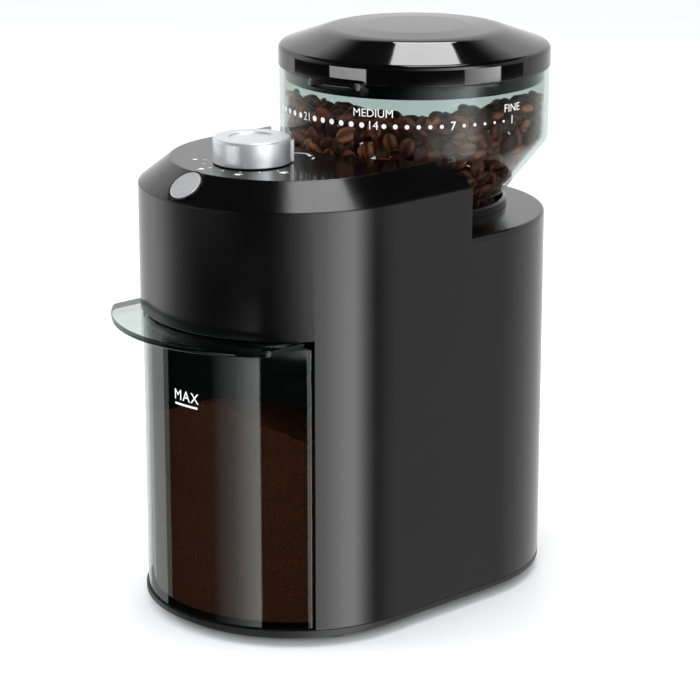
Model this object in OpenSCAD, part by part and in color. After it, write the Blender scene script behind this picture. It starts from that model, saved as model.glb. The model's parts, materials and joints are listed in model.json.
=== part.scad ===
// Burr coffee grinder: a rounded housing with a glass-clear bean hopper standing on its
// rear deck, a stepped control panel in front of it and a container that pulls out forwards.
// The origin is on the table at the middle of the body, +Z up, with the front towards -Y.

/* [Body] */
// Width of the body across its flat sides
body_w = 130; // [108:1:156]
// Length of the body from front to rear
body_l = 192; // [160:1:231]
// Height of the control panel's top face above the table
panel_z = 197.5; // [190:0.5:237]
// How far the rear deck lies below the control panel
deck_drop = 32; // [28:1:38]
// Width of the sloping border round the control panel
chamfer_run = 13.4; // [12.5:0.1:15]
// Height of the sloping border
chamfer_rise = 10.4; // [9.5:0.1:12]
// Wall thickness of the housing
wall = 2.5; // [2:0.1:3]
// Height of the base plate above the table
foot_h = 5; // [4:0.5:6]

/* [Hopper] */
// Outside diameter of the hopper
hopper_d = 118; // [98:1:142]
// How far the hopper's axis lies in front of the body's rear end
hopper_inset = 54.6; // [53:0.2:58]
// Height of the hopper's rim above the rear deck
hopper_h = 62.3; // [58:0.1:75]
// Wall thickness of the hopper
hopper_wall = 2; // [1.6:0.1:2.4]
// Height of the hopper's lid above the rim
lid_h = 17; // [15:0.5:20]

/* [Burrs] */
// Diameter of the two flat burrs
burr_d = 60; // [50:1:72]
// Gap between the burrs at the setting shown
burr_gap = 1.3; // [1.2:0.1:2]
// Number of grooves cut in each burr
burr_grooves = 16; // [12:1:20]

/* [Container] */
// Wall thickness of the container
container_wall = 2.2; // [1.8:0.1:2.6]
// How far the container's lid reaches out in front of the body
lip_reach = 15.5; // [12:0.5:20]

/* [Controls] */
// Diameter of the cup selector knob
knob_d = 33; // [27:1:40]
// Height of the cup selector knob
knob_h = 11; // [9:0.5:14]
// Diameter of the start button
button_d = 14.2; // [12:0.1:14.4]

/* [Drive] */
// Diameter of the motor
motor_d = 54; // [45:1:60]
// Tooth size of the gears, as pitch diameter over tooth count
gear_module = 1; // [0.9:0.05:1.05]
// Teeth on the motor's pinion
pinion_teeth = 12; // [12:1:12]
// Teeth on the large and small wheels of the intermediate gear
idler_teeth = [48, 14]; // [14:1:48]
// Teeth on the gear that turns the burr shaft
output_teeth = 56; // [56:1:56]

/* [Fits] */
// Gap between a part and the stop that it rests on
rest_gap = 0.2; // [0.1:0.05:0.3]
// Gap beside parts that slide or turn by hand
slide_gap = 0.3; // [0.2:0.05:0.5]
// Radial clearance of a shaft in its bearing
shaft_gap = 0.05; // [0.02:0.01:0.08]

/* [Hidden] */
$fn = 96;
eps = 0.05;

// Outline of the body: two half circles joined by flat sides
body_r = body_w / 2;
arc_y = body_l / 2 - body_r;
deck_z = panel_z - deck_drop;
deck_t = 2.5;
shoulder_z = panel_z - chamfer_rise;
base_t = 2.4;
housing_z = foot_h + base_t;
skirt_inset = 4;

// Hopper, its neck and the collar it stands in, all about one upright axis
hopper_y = body_l / 2 - hopper_inset;
hopper_r = hopper_d / 2;
burr_r = burr_d / 2;
neck_r = burr_r + 8.5;
collar_in = neck_r + 0.9;
collar_r = neck_r + 2.5;
collar_top = deck_z + 4;
flange_r = collar_r + 9;
flange_t = 2.5;
flange_z = deck_z - deck_t - flange_t;
rim_z = deck_z + hopper_h;
neck_z = deck_z - 8.5;
cone_rise = 4.9;
cone_z = deck_z + cone_rise;
cone_slope = 1.275;
throat_r = burr_r - 11;
scoop_gap = 2;
scoop_r = min(hopper_r, neck_r + (deck_drop - cone_rise) / cone_slope) + scoop_gap;
flare_r = scoop_r + 14.2;
flare_y = hopper_y + 16.6;
step_y = hopper_y - 29;

// Grinding set, from the adjusting ring down to the chamber floor
ring_t = 5;
ring_z = neck_z - rest_gap - ring_t;
ledge_z = ring_z - rest_gap;
carrier_r = burr_r + 4;
carrier_h = 9;
carrier_top = ledge_z - 3.1;
carrier_z = carrier_top - carrier_h;
thread_z = carrier_z - 3.5;
burr_t = 7.2;
burr_bore = burr_r / 2;
upper_burr_z = carrier_z - burr_t;
lower_burr_top = upper_burr_z - burr_gap;
lower_burr_t = 7;
lower_burr_z = lower_burr_top - lower_burr_t;
sweeper_t = 2.7;
sweeper_z = lower_burr_z - sweeper_t;
chamber_floor = sweeper_z - slide_gap;
chamber_t = 3;
chamber_in = burr_r + 6;
chamber_r = chamber_in + 3;
shaft_r = 4;
bearing_r = 11;
bearing_t = 7;
bearing_z = chamber_floor - 5 - bearing_t;
hub_r = bearing_r + 3;
hub_z = bearing_z - 0.5;
lug_w = 9;
lug_x = burr_r - 4;
lug_l = 6;
key_w = 7.4;
key_l = 3;

// Gear train: the intermediate gear stands to one side of the burr shaft
cover_t = 3;
cover_top = chamber_floor - chamber_t - 15;
cover_z = cover_top - cover_t;
gear_t = 10;
output_z = cover_z - 2 - gear_t;
plate_t = 6;
plate_z = output_z - 2 - plate_t;
idler_t = 8;
idler_z = plate_z - 2 - idler_t;
gearbox_z = idler_z - 6;
gearbox_floor = 3;
output_r = gear_module * output_teeth / 2;
idler_r = gear_module * idler_teeth[0] / 2;
idler_small_r = gear_module * idler_teeth[1] / 2;
pinion_r = gear_module * pinion_teeth / 2;
idler_dir = -45;
idler_dist = output_r + idler_small_r;
motor_dist = idler_dist - idler_r - pinion_r;
gear_play = 2;
gearbox_wall = 2.5;
output_room = output_r + gear_module + gear_play;
idler_room = idler_r + gear_module + gear_play;
lug_angles = [25, 135, 235];
lug_r = 5;
lug_dist = output_room + gearbox_wall + 3.5;
pin_r = 2.5;
motor_shaft_r = 2.5;
motor_gap = 4;
motor_bottom = housing_z + motor_gap;
motor_boss_r = 8;
pinion_top = idler_z + idler_t + 1;

// Container, its lid and the bay that they slide into
slot_half = body_r * 0.828;
slot_top = deck_z - 32;
bay_wall = 2;
chute_run = 22.4;
bay_back = hopper_y - chamber_r - chute_run;
container_half = slot_half - 1.5;
container_r = body_r - 1;
container_back = bay_back - 0.6;
container_z = housing_z + slide_gap;
container_lid_t = 3;
container_lid_z = slot_top - 0.5 - container_lid_t;
container_top = container_lid_z;
rim_lip_h = 4;
lip_half = slot_half - 3.2;
lip_r = body_r + 2.5;
lip_y = lip_r - arc_y - body_r - lip_reach;
lip_corner = 5;
chute_half = 12;
chute_wall = 1.8;
chute_fall = 6.5;
mouth_z = chamber_floor - 8.7;
mouth_h = 12;

// Control panel: knob, start button and the electrics under them
knob_r = knob_d / 2;
knob_inset = 43;
knob_y = knob_inset - body_l / 2;
knob_gap = 0.4;
stem_r = 3;
board_z = panel_z - 21.5;
board_t = 1.6;
board_y = knob_inset / 2;
// The board's front corners keep clear of the wall's arc
board_reach = body_r - wall - 6.5;
board_x = sqrt(pow(board_reach, 2) - pow(board_y - knob_y - arc_y, 2));
boss_x = board_x - 5;
boss_y = board_y - 5;
boss_r = 3;
switch_w = 22;
switch_h = 13;
tilt = atan(chamfer_rise / chamfer_run);
button_at = 0.53;
button_y = -arc_y - body_r + button_at * chamfer_run;
button_z = shoulder_z + button_at * chamfer_rise;
button_r = button_d / 2;
bezel_in = button_r + 0.25;
bezel_r = button_r + 1.05;
bezel_depth = 0.7;
guide_r = button_r + 0.7;
guide_depth = 13;
start_switch_h = 4;
button_travel = 1.5;
spring_r = 4.2;
spring_wire = 0.45;
spring_turns = 3.5;

// Screws
base_screw_x = [body_r - 11, body_r - 25];
base_screw_y = [-4, arc_y + 35];
base_screw_r = 1.5;
base_boss_r = 4;
base_boss_h = 30;
foot_r = 7;
foot_stem_r = 2.4;
foot_x = body_r - 19;
foot_y = arc_y + 19;
screw_r = 1.25;
screw_fit = 0.05;
collar_screw_r = collar_r + 6;
gland_r = 5;
gland_hole_r = 3;
gland_z = housing_z + 15;
gland_flange = 2.5;
gland_grooves = 4;
// The cord's sleeve reaches as far behind the body as the container's lid does in front of it
gland_reach = lip_reach;
groove_step = (gland_reach - gland_flange) / (gland_grooves + 1.2);

// ---------------------------------------------------------------- shared shapes

// Flat outline of the body at a given half width
module outline(r) {
    translate([0, arc_y]) circle(r);
    translate([0, -arc_y]) circle(r);
    translate([-r, -arc_y]) square([2 * r, 2 * arc_y]);
}

// Upright block with the body's outline
module block(r, z0, z1) {
    translate([0, 0, z0]) linear_extrude(z1 - z0) outline(r);
}

// Block whose half width narrows from r0 to r1 on the way up
module tapered_block(r0, r1, z0, z1) {
    h = z1 - z0;
    for (side = [-1, 1]) {
        translate([0, side * arc_y, z0]) cylinder(h = h, r1 = r0, r2 = r1);
    }
    translate([0, arc_y, z0]) rotate([90, 0, 0]) linear_extrude(2 * arc_y)
        polygon([[-r0, 0], [r0, 0], [r1, h], [-r1, h]]);
}

// Space in front of the step, outside the scoop round the hopper, set back by a margin
module front_space(margin, z0, z1) {
    difference() {
        translate([-body_w, -body_l, z0]) cube([2 * body_w, body_l + step_y - margin, z1 - z0]);
        translate([0, hopper_y, z0 - 1]) cylinder(h = z1 - z0 + 2, r = scoop_r + margin);
        translate([0, flare_y, z0 - 1]) cylinder(h = z1 - z0 + 2, r = flare_r + margin);
    }
}

// Places its children on the hopper's axis
module on_axis(z = 0) {
    translate([0, hopper_y, z]) children();
}

// Places its children on the axis of the intermediate gear
module on_idler(z = 0) {
    on_axis(z) rotate([0, 0, idler_dir]) translate([idler_dist, 0, 0]) rotate([0, 0, -idler_dir])
        children();
}

// Places its children on the motor's axis
module on_motor(z = 0) {
    on_axis(z) rotate([0, 0, idler_dir]) translate([motor_dist, 0, 0]) rotate([0, 0, -idler_dir])
        children();
}

// Places its children on the start button's axis, with z = 0 at the sloping face
module on_button(z = 0) {
    translate([0, button_y, button_z]) rotate([tilt, 0, 0]) translate([0, 0, z]) children();
}

// Copies its children round the hopper's axis
module spread(angles) {
    for (a = angles) on_axis() rotate([0, 0, a]) children();
}

// Ring between two radii
module ring(outer, inner, h) {
    difference() {
        cylinder(h = h, r = outer);
        translate([0, 0, -1]) cylinder(h = h + 2, r = inner);
    }
}

// Screw with its head below z = 0 and its thread going up
module screw(r, length, head_r, head_h) {
    translate([0, 0, -head_h]) cylinder(h = head_h, r = head_r);
    translate([0, 0, -eps]) cylinder(h = length + eps, r = r);
}

// Points of an arc
function arc(cx, cy, r, a0, a1, n = 8) = [for (i = [0 : n]) let (a = a0 + (a1 - a0) * i / n)
    [cx + r * cos(a), cy + r * sin(a)]];

// Half the angle that an involute tooth spans at radius r
pressure_angle = 20;
tooth_backlash = 0.12;
function involute(a) = tan(a) * 180 / PI - a;
function tooth_half(r, pitch_r, teeth) =
    let (base_r = pitch_r * cos(pressure_angle), a = acos(min(1, base_r / max(r, base_r))))
    90 / teeth - tooth_backlash / pitch_r * 90 / PI + involute(pressure_angle) - involute(a);

// Outline of a spur gear with a tooth centred on +X
function gear_points(teeth) =
    let (pitch_r = gear_module * teeth / 2,
         root = pitch_r - gear_module,
         tip = pitch_r + 0.75 * gear_module,
         base = max(pitch_r * cos(pressure_angle), root + 0.05),
         radii = [root, base, (base + tip) / 2, tip])
    [for (i = [0 : teeth - 1]) each concat(
        [for (k = [0 : 3]) let (a = 360 / teeth * i - tooth_half(radii[k], pitch_r, teeth))
            radii[k] * [cos(a), sin(a)]],
        [for (k = [3 : -1 : 0]) let (a = 360 / teeth * i + tooth_half(radii[k], pitch_r, teeth))
            radii[k] * [cos(a), sin(a)]])];

module gear(teeth, h, turn) {
    rotate([0, 0, turn]) linear_extrude(h) polygon(gear_points(teeth));
}

// ---------------------------------------------------------------- base and housing

module base_plate() {
    color("#161616") difference() {
        union() {
            block(body_r, foot_h, housing_z);
            difference() {
                block(body_r - skirt_inset, foot_h / 2, foot_h + 1);
                block(body_r - skirt_inset - wall, 0, foot_h);
            }
        }
        for (x = [-1, 1], i = [0, 1]) {
            translate([x * base_screw_x[i], base_screw_y[i], 0])
                cylinder(h = housing_z + 1, r = base_screw_r + screw_fit);
            translate([x * foot_x, (2 * i - 1) * foot_y, 0]) cylinder(h = housing_z + 1, r = foot_stem_r);
        }
        for (i = [-2 : 2]) {
            translate([-15, hopper_y + i * 8 - 1.5, 0]) cube([30, 3, housing_z + 1]);
        }
    }
}

module feet() {
    color("#2b2b2b") for (x = [-1, 1], y = [-1, 1]) {
        translate([x * foot_x, y * foot_y, 0]) cylinder(h = foot_h, r = foot_r);
        translate([x * foot_x, y * foot_y, foot_h - eps]) cylinder(h = base_t, r = foot_stem_r);
    }
}

module base_screws() {
    color("silver") for (x = [-1, 1], i = [0, 1]) {
        translate([x * base_screw_x[i], base_screw_y[i], foot_h]) screw(base_screw_r, 16, 3, 1.8);
    }
}

module main_housing() {
    color("#101010") difference() {
        union() {
            difference() {
                block(body_r, housing_z, shoulder_z);
                block(body_r - wall, housing_z - 1, shoulder_z + 1);
            }
            for (x = [-1, 1], i = [0, 1]) intersection() {
                translate([x * base_screw_x[i], base_screw_y[i], housing_z]) union() {
                    cylinder(h = base_boss_h, r = base_boss_r);
                    translate([min(0, x * 20), -1, 0]) cube([20, 2, base_boss_h]);
                }
                block(body_r - 1, housing_z, shoulder_z);
            }
        }
        for (x = [-1, 1], i = [0, 1]) {
            translate([x * base_screw_x[i], base_screw_y[i], housing_z - 1])
                cylinder(h = 19, r = base_screw_r + screw_fit);
        }
        translate([-body_w, step_y, deck_z - 2]) cube([2 * body_w, body_l, deck_drop + 2]);
        translate([-slot_half, -body_l, 0]) cube([2 * slot_half, body_l + bay_back, slot_top]);
        translate([0, body_l, gland_z]) rotate([90, 0, 0]) cylinder(h = body_l, r = gland_r + screw_fit);
    }
}

module container_bay() {
    color("#0d0d0d") difference() {
        intersection() {
            translate([-slot_half - bay_wall, -body_l, housing_z])
                cube([2 * (slot_half + bay_wall), body_l + bay_back + bay_wall,
                    slot_top + bay_wall - housing_z]);
            block(body_r - wall - 0.1, housing_z, slot_top + bay_wall);
        }
        translate([-slot_half, -body_l, housing_z - 1])
            cube([2 * slot_half, body_l + bay_back, slot_top - housing_z + 1]);
        translate([-chute_half - chute_wall - 0.1, bay_back - 1, mouth_z - chute_wall - 0.1])
            cube([2 * (chute_half + chute_wall + 0.1), bay_wall + 2, mouth_h + 2 * chute_wall + 1]);
    }
}

module control_panel() {
    inner_r = body_r - wall;
    rail = 1.5;
    color("#0e0e0e") difference() {
        union() {
            // Sloping border and top face
            intersection() {
                difference() {
                    tapered_block(body_r, body_r - chamfer_run, shoulder_z, panel_z);
                    tapered_block(body_r, body_r - chamfer_run, shoulder_z - wall, panel_z - wall);
                }
                front_space(0, shoulder_z, panel_z);
            }
            // Rail that drops inside the housing
            intersection() {
                difference() {
                    block(inner_r - 0.1, shoulder_z - 3, shoulder_z + 1);
                    block(inner_r - 0.1 - rail, shoulder_z - 4, shoulder_z + 2);
                }
                front_space(0, shoulder_z - 3, shoulder_z + 1);
            }
            // Wall behind the panel, from the deck up, curved round the hopper
            intersection() {
                difference() {
                    front_space(0, deck_z, panel_z);
                    front_space(wall, deck_z - 1, panel_z + 1);
                }
                union() {
                    block(inner_r - 0.1, deck_z, shoulder_z);
                    tapered_block(body_r, body_r - chamfer_run, shoulder_z, panel_z);
                }
            }
            // Guide for the start button
            intersection() {
                on_button(-guide_depth) cylinder(h = guide_depth - wall, r = guide_r + 1.4);
                block(inner_r - 0.2, board_z, panel_z);
            }
            // Posts for the control board
            for (x = [-1, 1], y = [-1, 1]) {
                translate([x * boss_x, knob_y + y * boss_y, board_z + board_t])
                    cylinder(h = panel_z - wall - board_z - board_t + eps, r = boss_r);
            }
        }
        on_button(-guide_depth - 1) cylinder(h = guide_depth + 10, r = guide_r);
        on_button(-bezel_depth) cylinder(h = 10, r = bezel_r);
        translate([0, knob_y, board_z]) cylinder(h = 30, r = stem_r + 1);
        for (x = [-1, 1], y = [-1, 1]) {
            translate([x * boss_x, knob_y + y * boss_y, board_z]) cylinder(h = 12, r = screw_r + screw_fit);
        }
    }
}

module rear_deck() {
    color("#1a1a1a") difference() {
        union() {
            // Plate with a rounded edge, behind the step
            intersection() {
                union() {
                    translate([0, arc_y, 0]) rotate_extrude() deck_section();
                    translate([0, arc_y, 0]) rotate([90, 0, 0]) linear_extrude(2 * arc_y) union() {
                        deck_section();
                        mirror([1, 0]) deck_section();
                    }
                }
                translate([-body_w, step_y + 0.1, 0]) cube([2 * body_w, body_l, panel_z]);
            }
            // Its tongue, under the wall behind the panel
            intersection() {
                block(body_r - wall - 0.1, deck_z - deck_t, deck_z);
                translate([-body_w, hopper_y - flange_r - 3, 0]) cube([2 * body_w, body_l, panel_z]);
            }
        }
        on_axis(deck_z - 10) cylinder(h = 20, r = collar_r + 0.1);
        spread([45 : 90 : 315]) translate([collar_screw_r, 0, deck_z - 5])
            cylinder(h = 4.3, r = screw_r + screw_fit);
    }
}

// Section of the deck plate from the middle out to its rounded edge
module deck_section() {
    edge = 1.4;
    translate([0, deck_z - 2]) square([body_r - edge, 2]);
    translate([0, deck_z - 2]) square([body_r, 2 - edge]);
    translate([body_r - edge, deck_z - edge]) intersection() {
        circle(edge);
        square(edge + 1);
    }
}

// ---------------------------------------------------------------- hopper seat and grinding set

module hopper_collar() {
    bore = carrier_r + 0.08;
    color("#0c0c0c") difference() {
        on_axis() rotate_extrude() polygon([
            [bore, thread_z], [collar_r, thread_z], [collar_r, flange_z], [flange_r, flange_z],
            [flange_r, flange_z + flange_t], [collar_r, flange_z + flange_t],
            [collar_r, collar_top - 0.6], [collar_r - 0.6, collar_top], [collar_in, collar_top],
            [collar_in, ledge_z], [bore, ledge_z]
        ]);
        spread([45 : 90 : 315]) translate([collar_screw_r, 0, flange_z - 1])
            cylinder(h = flange_t + 2, r = screw_r + screw_fit);
    }
}

module collar_screws() {
    color("silver") spread([45 : 90 : 315])
        translate([collar_screw_r, 0, flange_z - flange_t]) screw(screw_r, 6.6, 2.3, 1.8);
}

module grinding_chamber() {
    cup_r = collar_r + 0.1;
    color("#2a2a2c") difference() {
        union() {
            on_axis() rotate_extrude() polygon([
                [shaft_r + 1, chamber_floor], [chamber_in, chamber_floor], [chamber_in, thread_z],
                [cup_r, thread_z], [cup_r, flange_z], [flange_r, flange_z],
                [flange_r, flange_z - flange_t], [cup_r + 3, flange_z - flange_t],
                [cup_r + 3, thread_z - 3], [chamber_r, thread_z - 3],
                [chamber_r, chamber_floor - chamber_t], [hub_r, chamber_floor - chamber_t],
                [hub_r, hub_z], [bearing_r, hub_z], [bearing_r, bearing_z + bearing_t],
                [shaft_r + 1, bearing_z + bearing_t]
            ]);
            spread(lug_angles) translate([lug_dist, 0, cover_top])
                cylinder(h = chamber_floor - chamber_t - cover_top + eps, r = lug_r - 0.5);
        }
        on_axis(chamber_floor) translate([-chute_half, -chamber_r - 5, 0]) cube([2 * chute_half, 12, 9.7]);
        spread([45 : 90 : 315]) translate([collar_screw_r, 0, flange_z - flange_t - 1])
            cylinder(h = flange_t + 2, r = screw_r + screw_fit);
        spread(lug_angles) translate([lug_dist, 0, cover_top - 1])
            cylinder(h = 11, r = screw_r + screw_fit);
    }
}

// Side view of the chute's duct, grown by a margin
module chute_side(margin) {
    polygon([
        [bay_back, mouth_z - margin], [bay_back, mouth_z + mouth_h + margin],
        [hopper_y - chamber_r + 6, mouth_z + mouth_h + chute_fall + margin],
        [hopper_y - chamber_r + 6, mouth_z + chute_fall - margin]
    ]);
}

module exit_chute() {
    color("#2a2a2c") difference() {
        rotate([90, 0, 90]) translate([0, 0, -chute_half - chute_wall])
            linear_extrude(2 * (chute_half + chute_wall)) chute_side(chute_wall);
        rotate([90, 0, 90]) translate([0, 0, -chute_half])
            linear_extrude(2 * chute_half) chute_side(0);
        on_axis(mouth_z - 20) cylinder(h = 60, r = chamber_r + 0.02);
        translate([-chute_half, bay_back - 1, mouth_z]) cube([2 * chute_half, 3, mouth_h]);
    }
}

module adjusting_ring() {
    color("#3a3a3d") difference() {
        on_axis(ring_z) ring(collar_in - slide_gap, lug_x - 2, ring_t);
        spread([0, 120, 240]) {
            translate([lug_x - 0.5, -lug_w / 2 - slide_gap, ring_z - 1])
                cube([lug_l + 1, lug_w + 2 * slide_gap, ring_t + 2]);
            rotate([0, 0, 60])
                translate([neck_r - 0.1 - key_l - 0.4, -key_w / 2 - slide_gap, ring_z + ring_t - 2.7])
                cube([key_l + 5, key_w + 2 * slide_gap, 5]);
        }
    }
}

module burr_carrier() {
    color("#e8e4da") difference() {
        union() {
            on_axis() rotate_extrude() polygon([
                [burr_bore, carrier_z], [carrier_r, carrier_z], [carrier_r, carrier_top],
                [burr_bore + 7, carrier_top]
            ]);
            spread([0, 120, 240]) translate([lug_x, -lug_w / 2, carrier_top - 1]) cube([lug_l, lug_w, 7.5]);
        }
        spread([60, 180, 300]) translate([burr_r - 5, 0, carrier_z - 1])
            cylinder(h = 7, r = screw_r + screw_fit);
    }
}

// Straight grooves set across a burr's face, each off the centre so that it shears the beans
module burr_face_grooves() {
    for (i = [0 : burr_grooves - 1]) {
        rotate([0, 0, 360 / burr_grooves * i]) translate([burr_bore * 0.6, 4, 0]) rotate([0, 0, 12])
            translate([0, 0, -1]) cube([burr_r, 1.6, 2]);
    }
}

module upper_burr() {
    color("#9a9ca0") difference() {
        on_axis(upper_burr_z) ring(burr_r, burr_bore, burr_t);
        on_axis(upper_burr_z) mirror([1, 0, 0]) burr_face_grooves();
        on_axis(upper_burr_z - eps) cylinder(h = 4, r1 = burr_bore + 4, r2 = burr_bore);
        spread([60, 180, 300]) {
            translate([burr_r - 5, 0, upper_burr_z - 1]) cylinder(h = burr_t + 2, r = screw_r + screw_fit);
            translate([burr_r - 5, 0, upper_burr_z - 1]) cylinder(h = 3.5, r = 2.6);
        }
    }
}

module upper_burr_screws() {
    color("silver") spread([60, 180, 300])
        translate([burr_r - 5, 0, upper_burr_z + 2.5]) screw(screw_r, 9.5, 2.4, 1.5);
}

module lower_burr() {
    color("#9a9ca0") difference() {
        on_axis(lower_burr_z) ring(burr_r, shaft_r, lower_burr_t);
        on_axis(lower_burr_top) burr_face_grooves();
    }
}

module sweeper() {
    color("#c8c4ba") union() {
        on_axis(sweeper_z) ring(burr_r + 0.4, shaft_r, sweeper_t);
        spread([0 : 90 : 270]) translate([burr_r + 0.2, -1.5, sweeper_z])
            cube([chamber_in - burr_r - 1.5, 3, 7.7]);
    }
}

module feed_impeller() {
    color("#c8c4ba") difference() {
        union() {
            on_axis(lower_burr_top) cylinder(h = 7, r1 = 9, r2 = 6);
            spread([0, 120, 240]) translate([3, -1, lower_burr_top]) rotate([0, 0, 15]) cube([9, 2, 5.5]);
        }
        on_axis(lower_burr_top - 1) cylinder(h = 9, r = shaft_r);
    }
}

module burr_nut() {
    color("silver") difference() {
        on_axis(lower_burr_top + 7) cylinder(h = 4, r = 5.8, $fn = 6);
        on_axis(lower_burr_top + 6) cylinder(h = 6, r = shaft_r);
    }
}

module burr_shaft() {
    color("silver") on_axis(plate_z + 0.5) cylinder(h = lower_burr_top + 12.5 - plate_z - 0.5, r = shaft_r);
}

// Ball bearing with its two rings and the shield between them
module bearing(outer, t) {
    difference() {
        ring(outer, shaft_r + shaft_gap, t);
        for (z = [-1, t - 0.4]) translate([0, 0, z]) ring(outer - 1.8, shaft_r + 1.6, 1.4);
    }
}

module chamber_bearing() {
    color("#b8babd") on_axis(bearing_z) bearing(bearing_r, bearing_t);
}

module lower_bearing() {
    color("#b8babd") on_axis(plate_z + 0.5) bearing(8, plate_t - 1);
}

// ---------------------------------------------------------------- gears and motor

module output_gear() {
    color("#e9e6dc") difference() {
        on_axis(output_z) gear(output_teeth, gear_t, idler_dir);
        on_axis(output_z + gear_t / 2 + 1.5) ring(output_r - 4, 10, gear_t);
        on_axis(output_z - 1) ring(output_r - 4, 10, gear_t / 2 - 0.5);
        on_axis(output_z - 1) cylinder(h = gear_t + 2, r = shaft_r);
        spread([0 : 60 : 300]) translate([17, 0, output_z - 1]) cylinder(h = gear_t + 2, r = 4);
    }
}

module idler_gear() {
    color("#e9e6dc") difference() {
        union() {
            on_idler(idler_z) gear(idler_teeth[0], idler_t, idler_dir + 180);
            on_idler(idler_z + idler_t - eps) cylinder(h = output_z - idler_z - idler_t + 2 * eps, r = 5.6);
            on_idler(output_z) gear(idler_teeth[1], gear_t, idler_dir + 180 + 180 / idler_teeth[1]);
        }
        on_idler(idler_z + idler_t / 2 + 1.5) ring(idler_r - 4, 8, idler_t);
        on_idler(idler_z - 1) cylinder(h = output_z + gear_t, r = pin_r + shaft_gap);
    }
}

module idler_pin() {
    color("silver") on_idler(gearbox_z + 0.5) cylinder(h = cover_top - 0.5 - gearbox_z - 0.5, r = pin_r);
}

// Flat outline of the gearbox, grown or shrunk by a margin
module gearbox_outline(margin) {
    translate([0, hopper_y]) circle(output_room + margin);
    translate([idler_dist * cos(idler_dir), hopper_y + idler_dist * sin(idler_dir)])
        circle(idler_room + margin);
}

module lug_outline() {
    for (a = lug_angles) translate([0, hopper_y]) rotate(a) translate([lug_dist, 0]) circle(lug_r);
}

module gearbox_housing() {
    color("#303236") difference() {
        translate([0, 0, gearbox_z]) linear_extrude(cover_z - gearbox_z) union() {
            gearbox_outline(gearbox_wall);
            lug_outline();
        }
        translate([0, 0, plate_z]) linear_extrude(cover_z - plate_z + 1) gearbox_outline(0);
        translate([0, 0, gearbox_z + gearbox_floor]) linear_extrude(cover_z) gearbox_outline(-1.2);
        spread(lug_angles) translate([lug_dist, 0, gearbox_z - 1])
            cylinder(h = cover_z - gearbox_z + 2, r = screw_r + screw_fit);
        on_idler(gearbox_z + 0.5) cylinder(h = 10, r = pin_r);
        on_motor(gearbox_z - 1) cylinder(h = 10, r = motor_boss_r);
        for (a = [0, 180]) on_motor(gearbox_z - 1) rotate([0, 0, a + 45]) translate([13, 0, 0])
            cylinder(h = 10, r = screw_r + screw_fit);
    }
}

module bearing_plate() {
    color("#c9c9c4") difference() {
        translate([0, 0, plate_z]) linear_extrude(plate_t) gearbox_outline(-0.1);
        on_axis(plate_z + 0.5) cylinder(h = plate_t, r = 8);
        on_axis(plate_z - 1) cylinder(h = plate_t, r = shaft_r + 1);
        on_idler(plate_z - 1) cylinder(h = plate_t + 2, r = 9);
    }
}

module gearbox_cover() {
    color("#303236") difference() {
        translate([0, 0, cover_z]) linear_extrude(cover_t) union() {
            gearbox_outline(gearbox_wall);
            lug_outline();
        }
        on_axis(cover_z - 1) cylinder(h = cover_t + 2, r = shaft_r + 1);
        on_idler(cover_z - 1) cylinder(h = cover_t + 0.5, r = pin_r);
        spread(lug_angles) translate([lug_dist, 0, cover_z - 1])
            cylinder(h = cover_t + 2, r = screw_r + screw_fit);
    }
}

module gearbox_screws() {
    color("silver") spread(lug_angles) translate([lug_dist, 0, gearbox_z])
        screw(screw_r, cover_top - gearbox_z + 9, 2.8, 1.8);
}

module motor_can() {
    screw_room = 10;
    color("#8d9094") difference() {
        union() {
            on_motor(motor_bottom) cylinder(h = gearbox_z - motor_bottom, r = motor_d / 2);
            on_motor(gearbox_z - eps) cylinder(h = 2, r = motor_boss_r - 0.1);
        }
        on_motor(motor_bottom + 3) cylinder(h = gearbox_z, r = motor_shaft_r + shaft_gap);
        for (a = [0, 180]) on_motor(gearbox_z - screw_room) rotate([0, 0, a + 45]) translate([13, 0, 0])
            cylinder(h = screw_room + 1, r = screw_r + screw_fit);
        for (a = [0 : 30 : 330]) on_motor(motor_bottom + 12) rotate([0, 0, a])
            translate([motor_d / 2 - 1, -2, 0])
            cube([4, 4, 6]);
    }
}

module motor_shaft() {
    color("silver") on_motor(motor_bottom + 3 + rest_gap)
        cylinder(h = pinion_top - motor_bottom - 3 - rest_gap, r = motor_shaft_r);
}

module motor_pinion() {
    color("#c9a24a") difference() {
        on_motor(idler_z) gear(pinion_teeth, idler_t, idler_dir + 180 / pinion_teeth);
        on_motor(idler_z - 1) cylinder(h = idler_t + 2, r = motor_shaft_r);
    }
}

module motor_cushion() {
    color("#222222") on_motor(housing_z) ring(motor_d / 2 - 2, motor_d / 2 - 12, motor_gap);
}

// ---------------------------------------------------------------- controls

module selector_knob() {
    edge = 1.2;
    top = panel_z + knob_h;
    dish_r = knob_r * 0.6;
    color("#c4c6c8") translate([0, knob_y, 0]) difference() {
        union() {
            rotate_extrude() polygon(concat(
                [[0, panel_z + knob_gap], [knob_r, panel_z + knob_gap]],
                arc(knob_r - edge, top - edge, edge, 0, 90),
                [[dish_r, top], [dish_r - 0.9, top - 0.7], [0, top - 0.7]]
            ));
            rotate([0, 0, 47]) translate([knob_r - 2, -1.5, panel_z + knob_gap])
                cube([3, 3, knob_h - knob_gap - 1.5]);
        }
        translate([0, 0, panel_z]) cylinder(h = knob_h - 2, r = stem_r);
    }
}

module knob_shaft() {
    color("#d8d8d0") translate([0, knob_y, board_z + board_t + 3])
        cylinder(h = panel_z + knob_h - 2.2 - board_z - board_t - 3, r = stem_r);
}

module selector_switch() {
    z = board_z + board_t;
    color("#3b4a63") difference() {
        translate([-switch_w / 2, knob_y - switch_w / 2, z]) cube([switch_w, switch_w, switch_h]);
        translate([0, knob_y, z + 3 - rest_gap]) cylinder(h = switch_h, r = stem_r + shaft_gap);
    }
}

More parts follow.
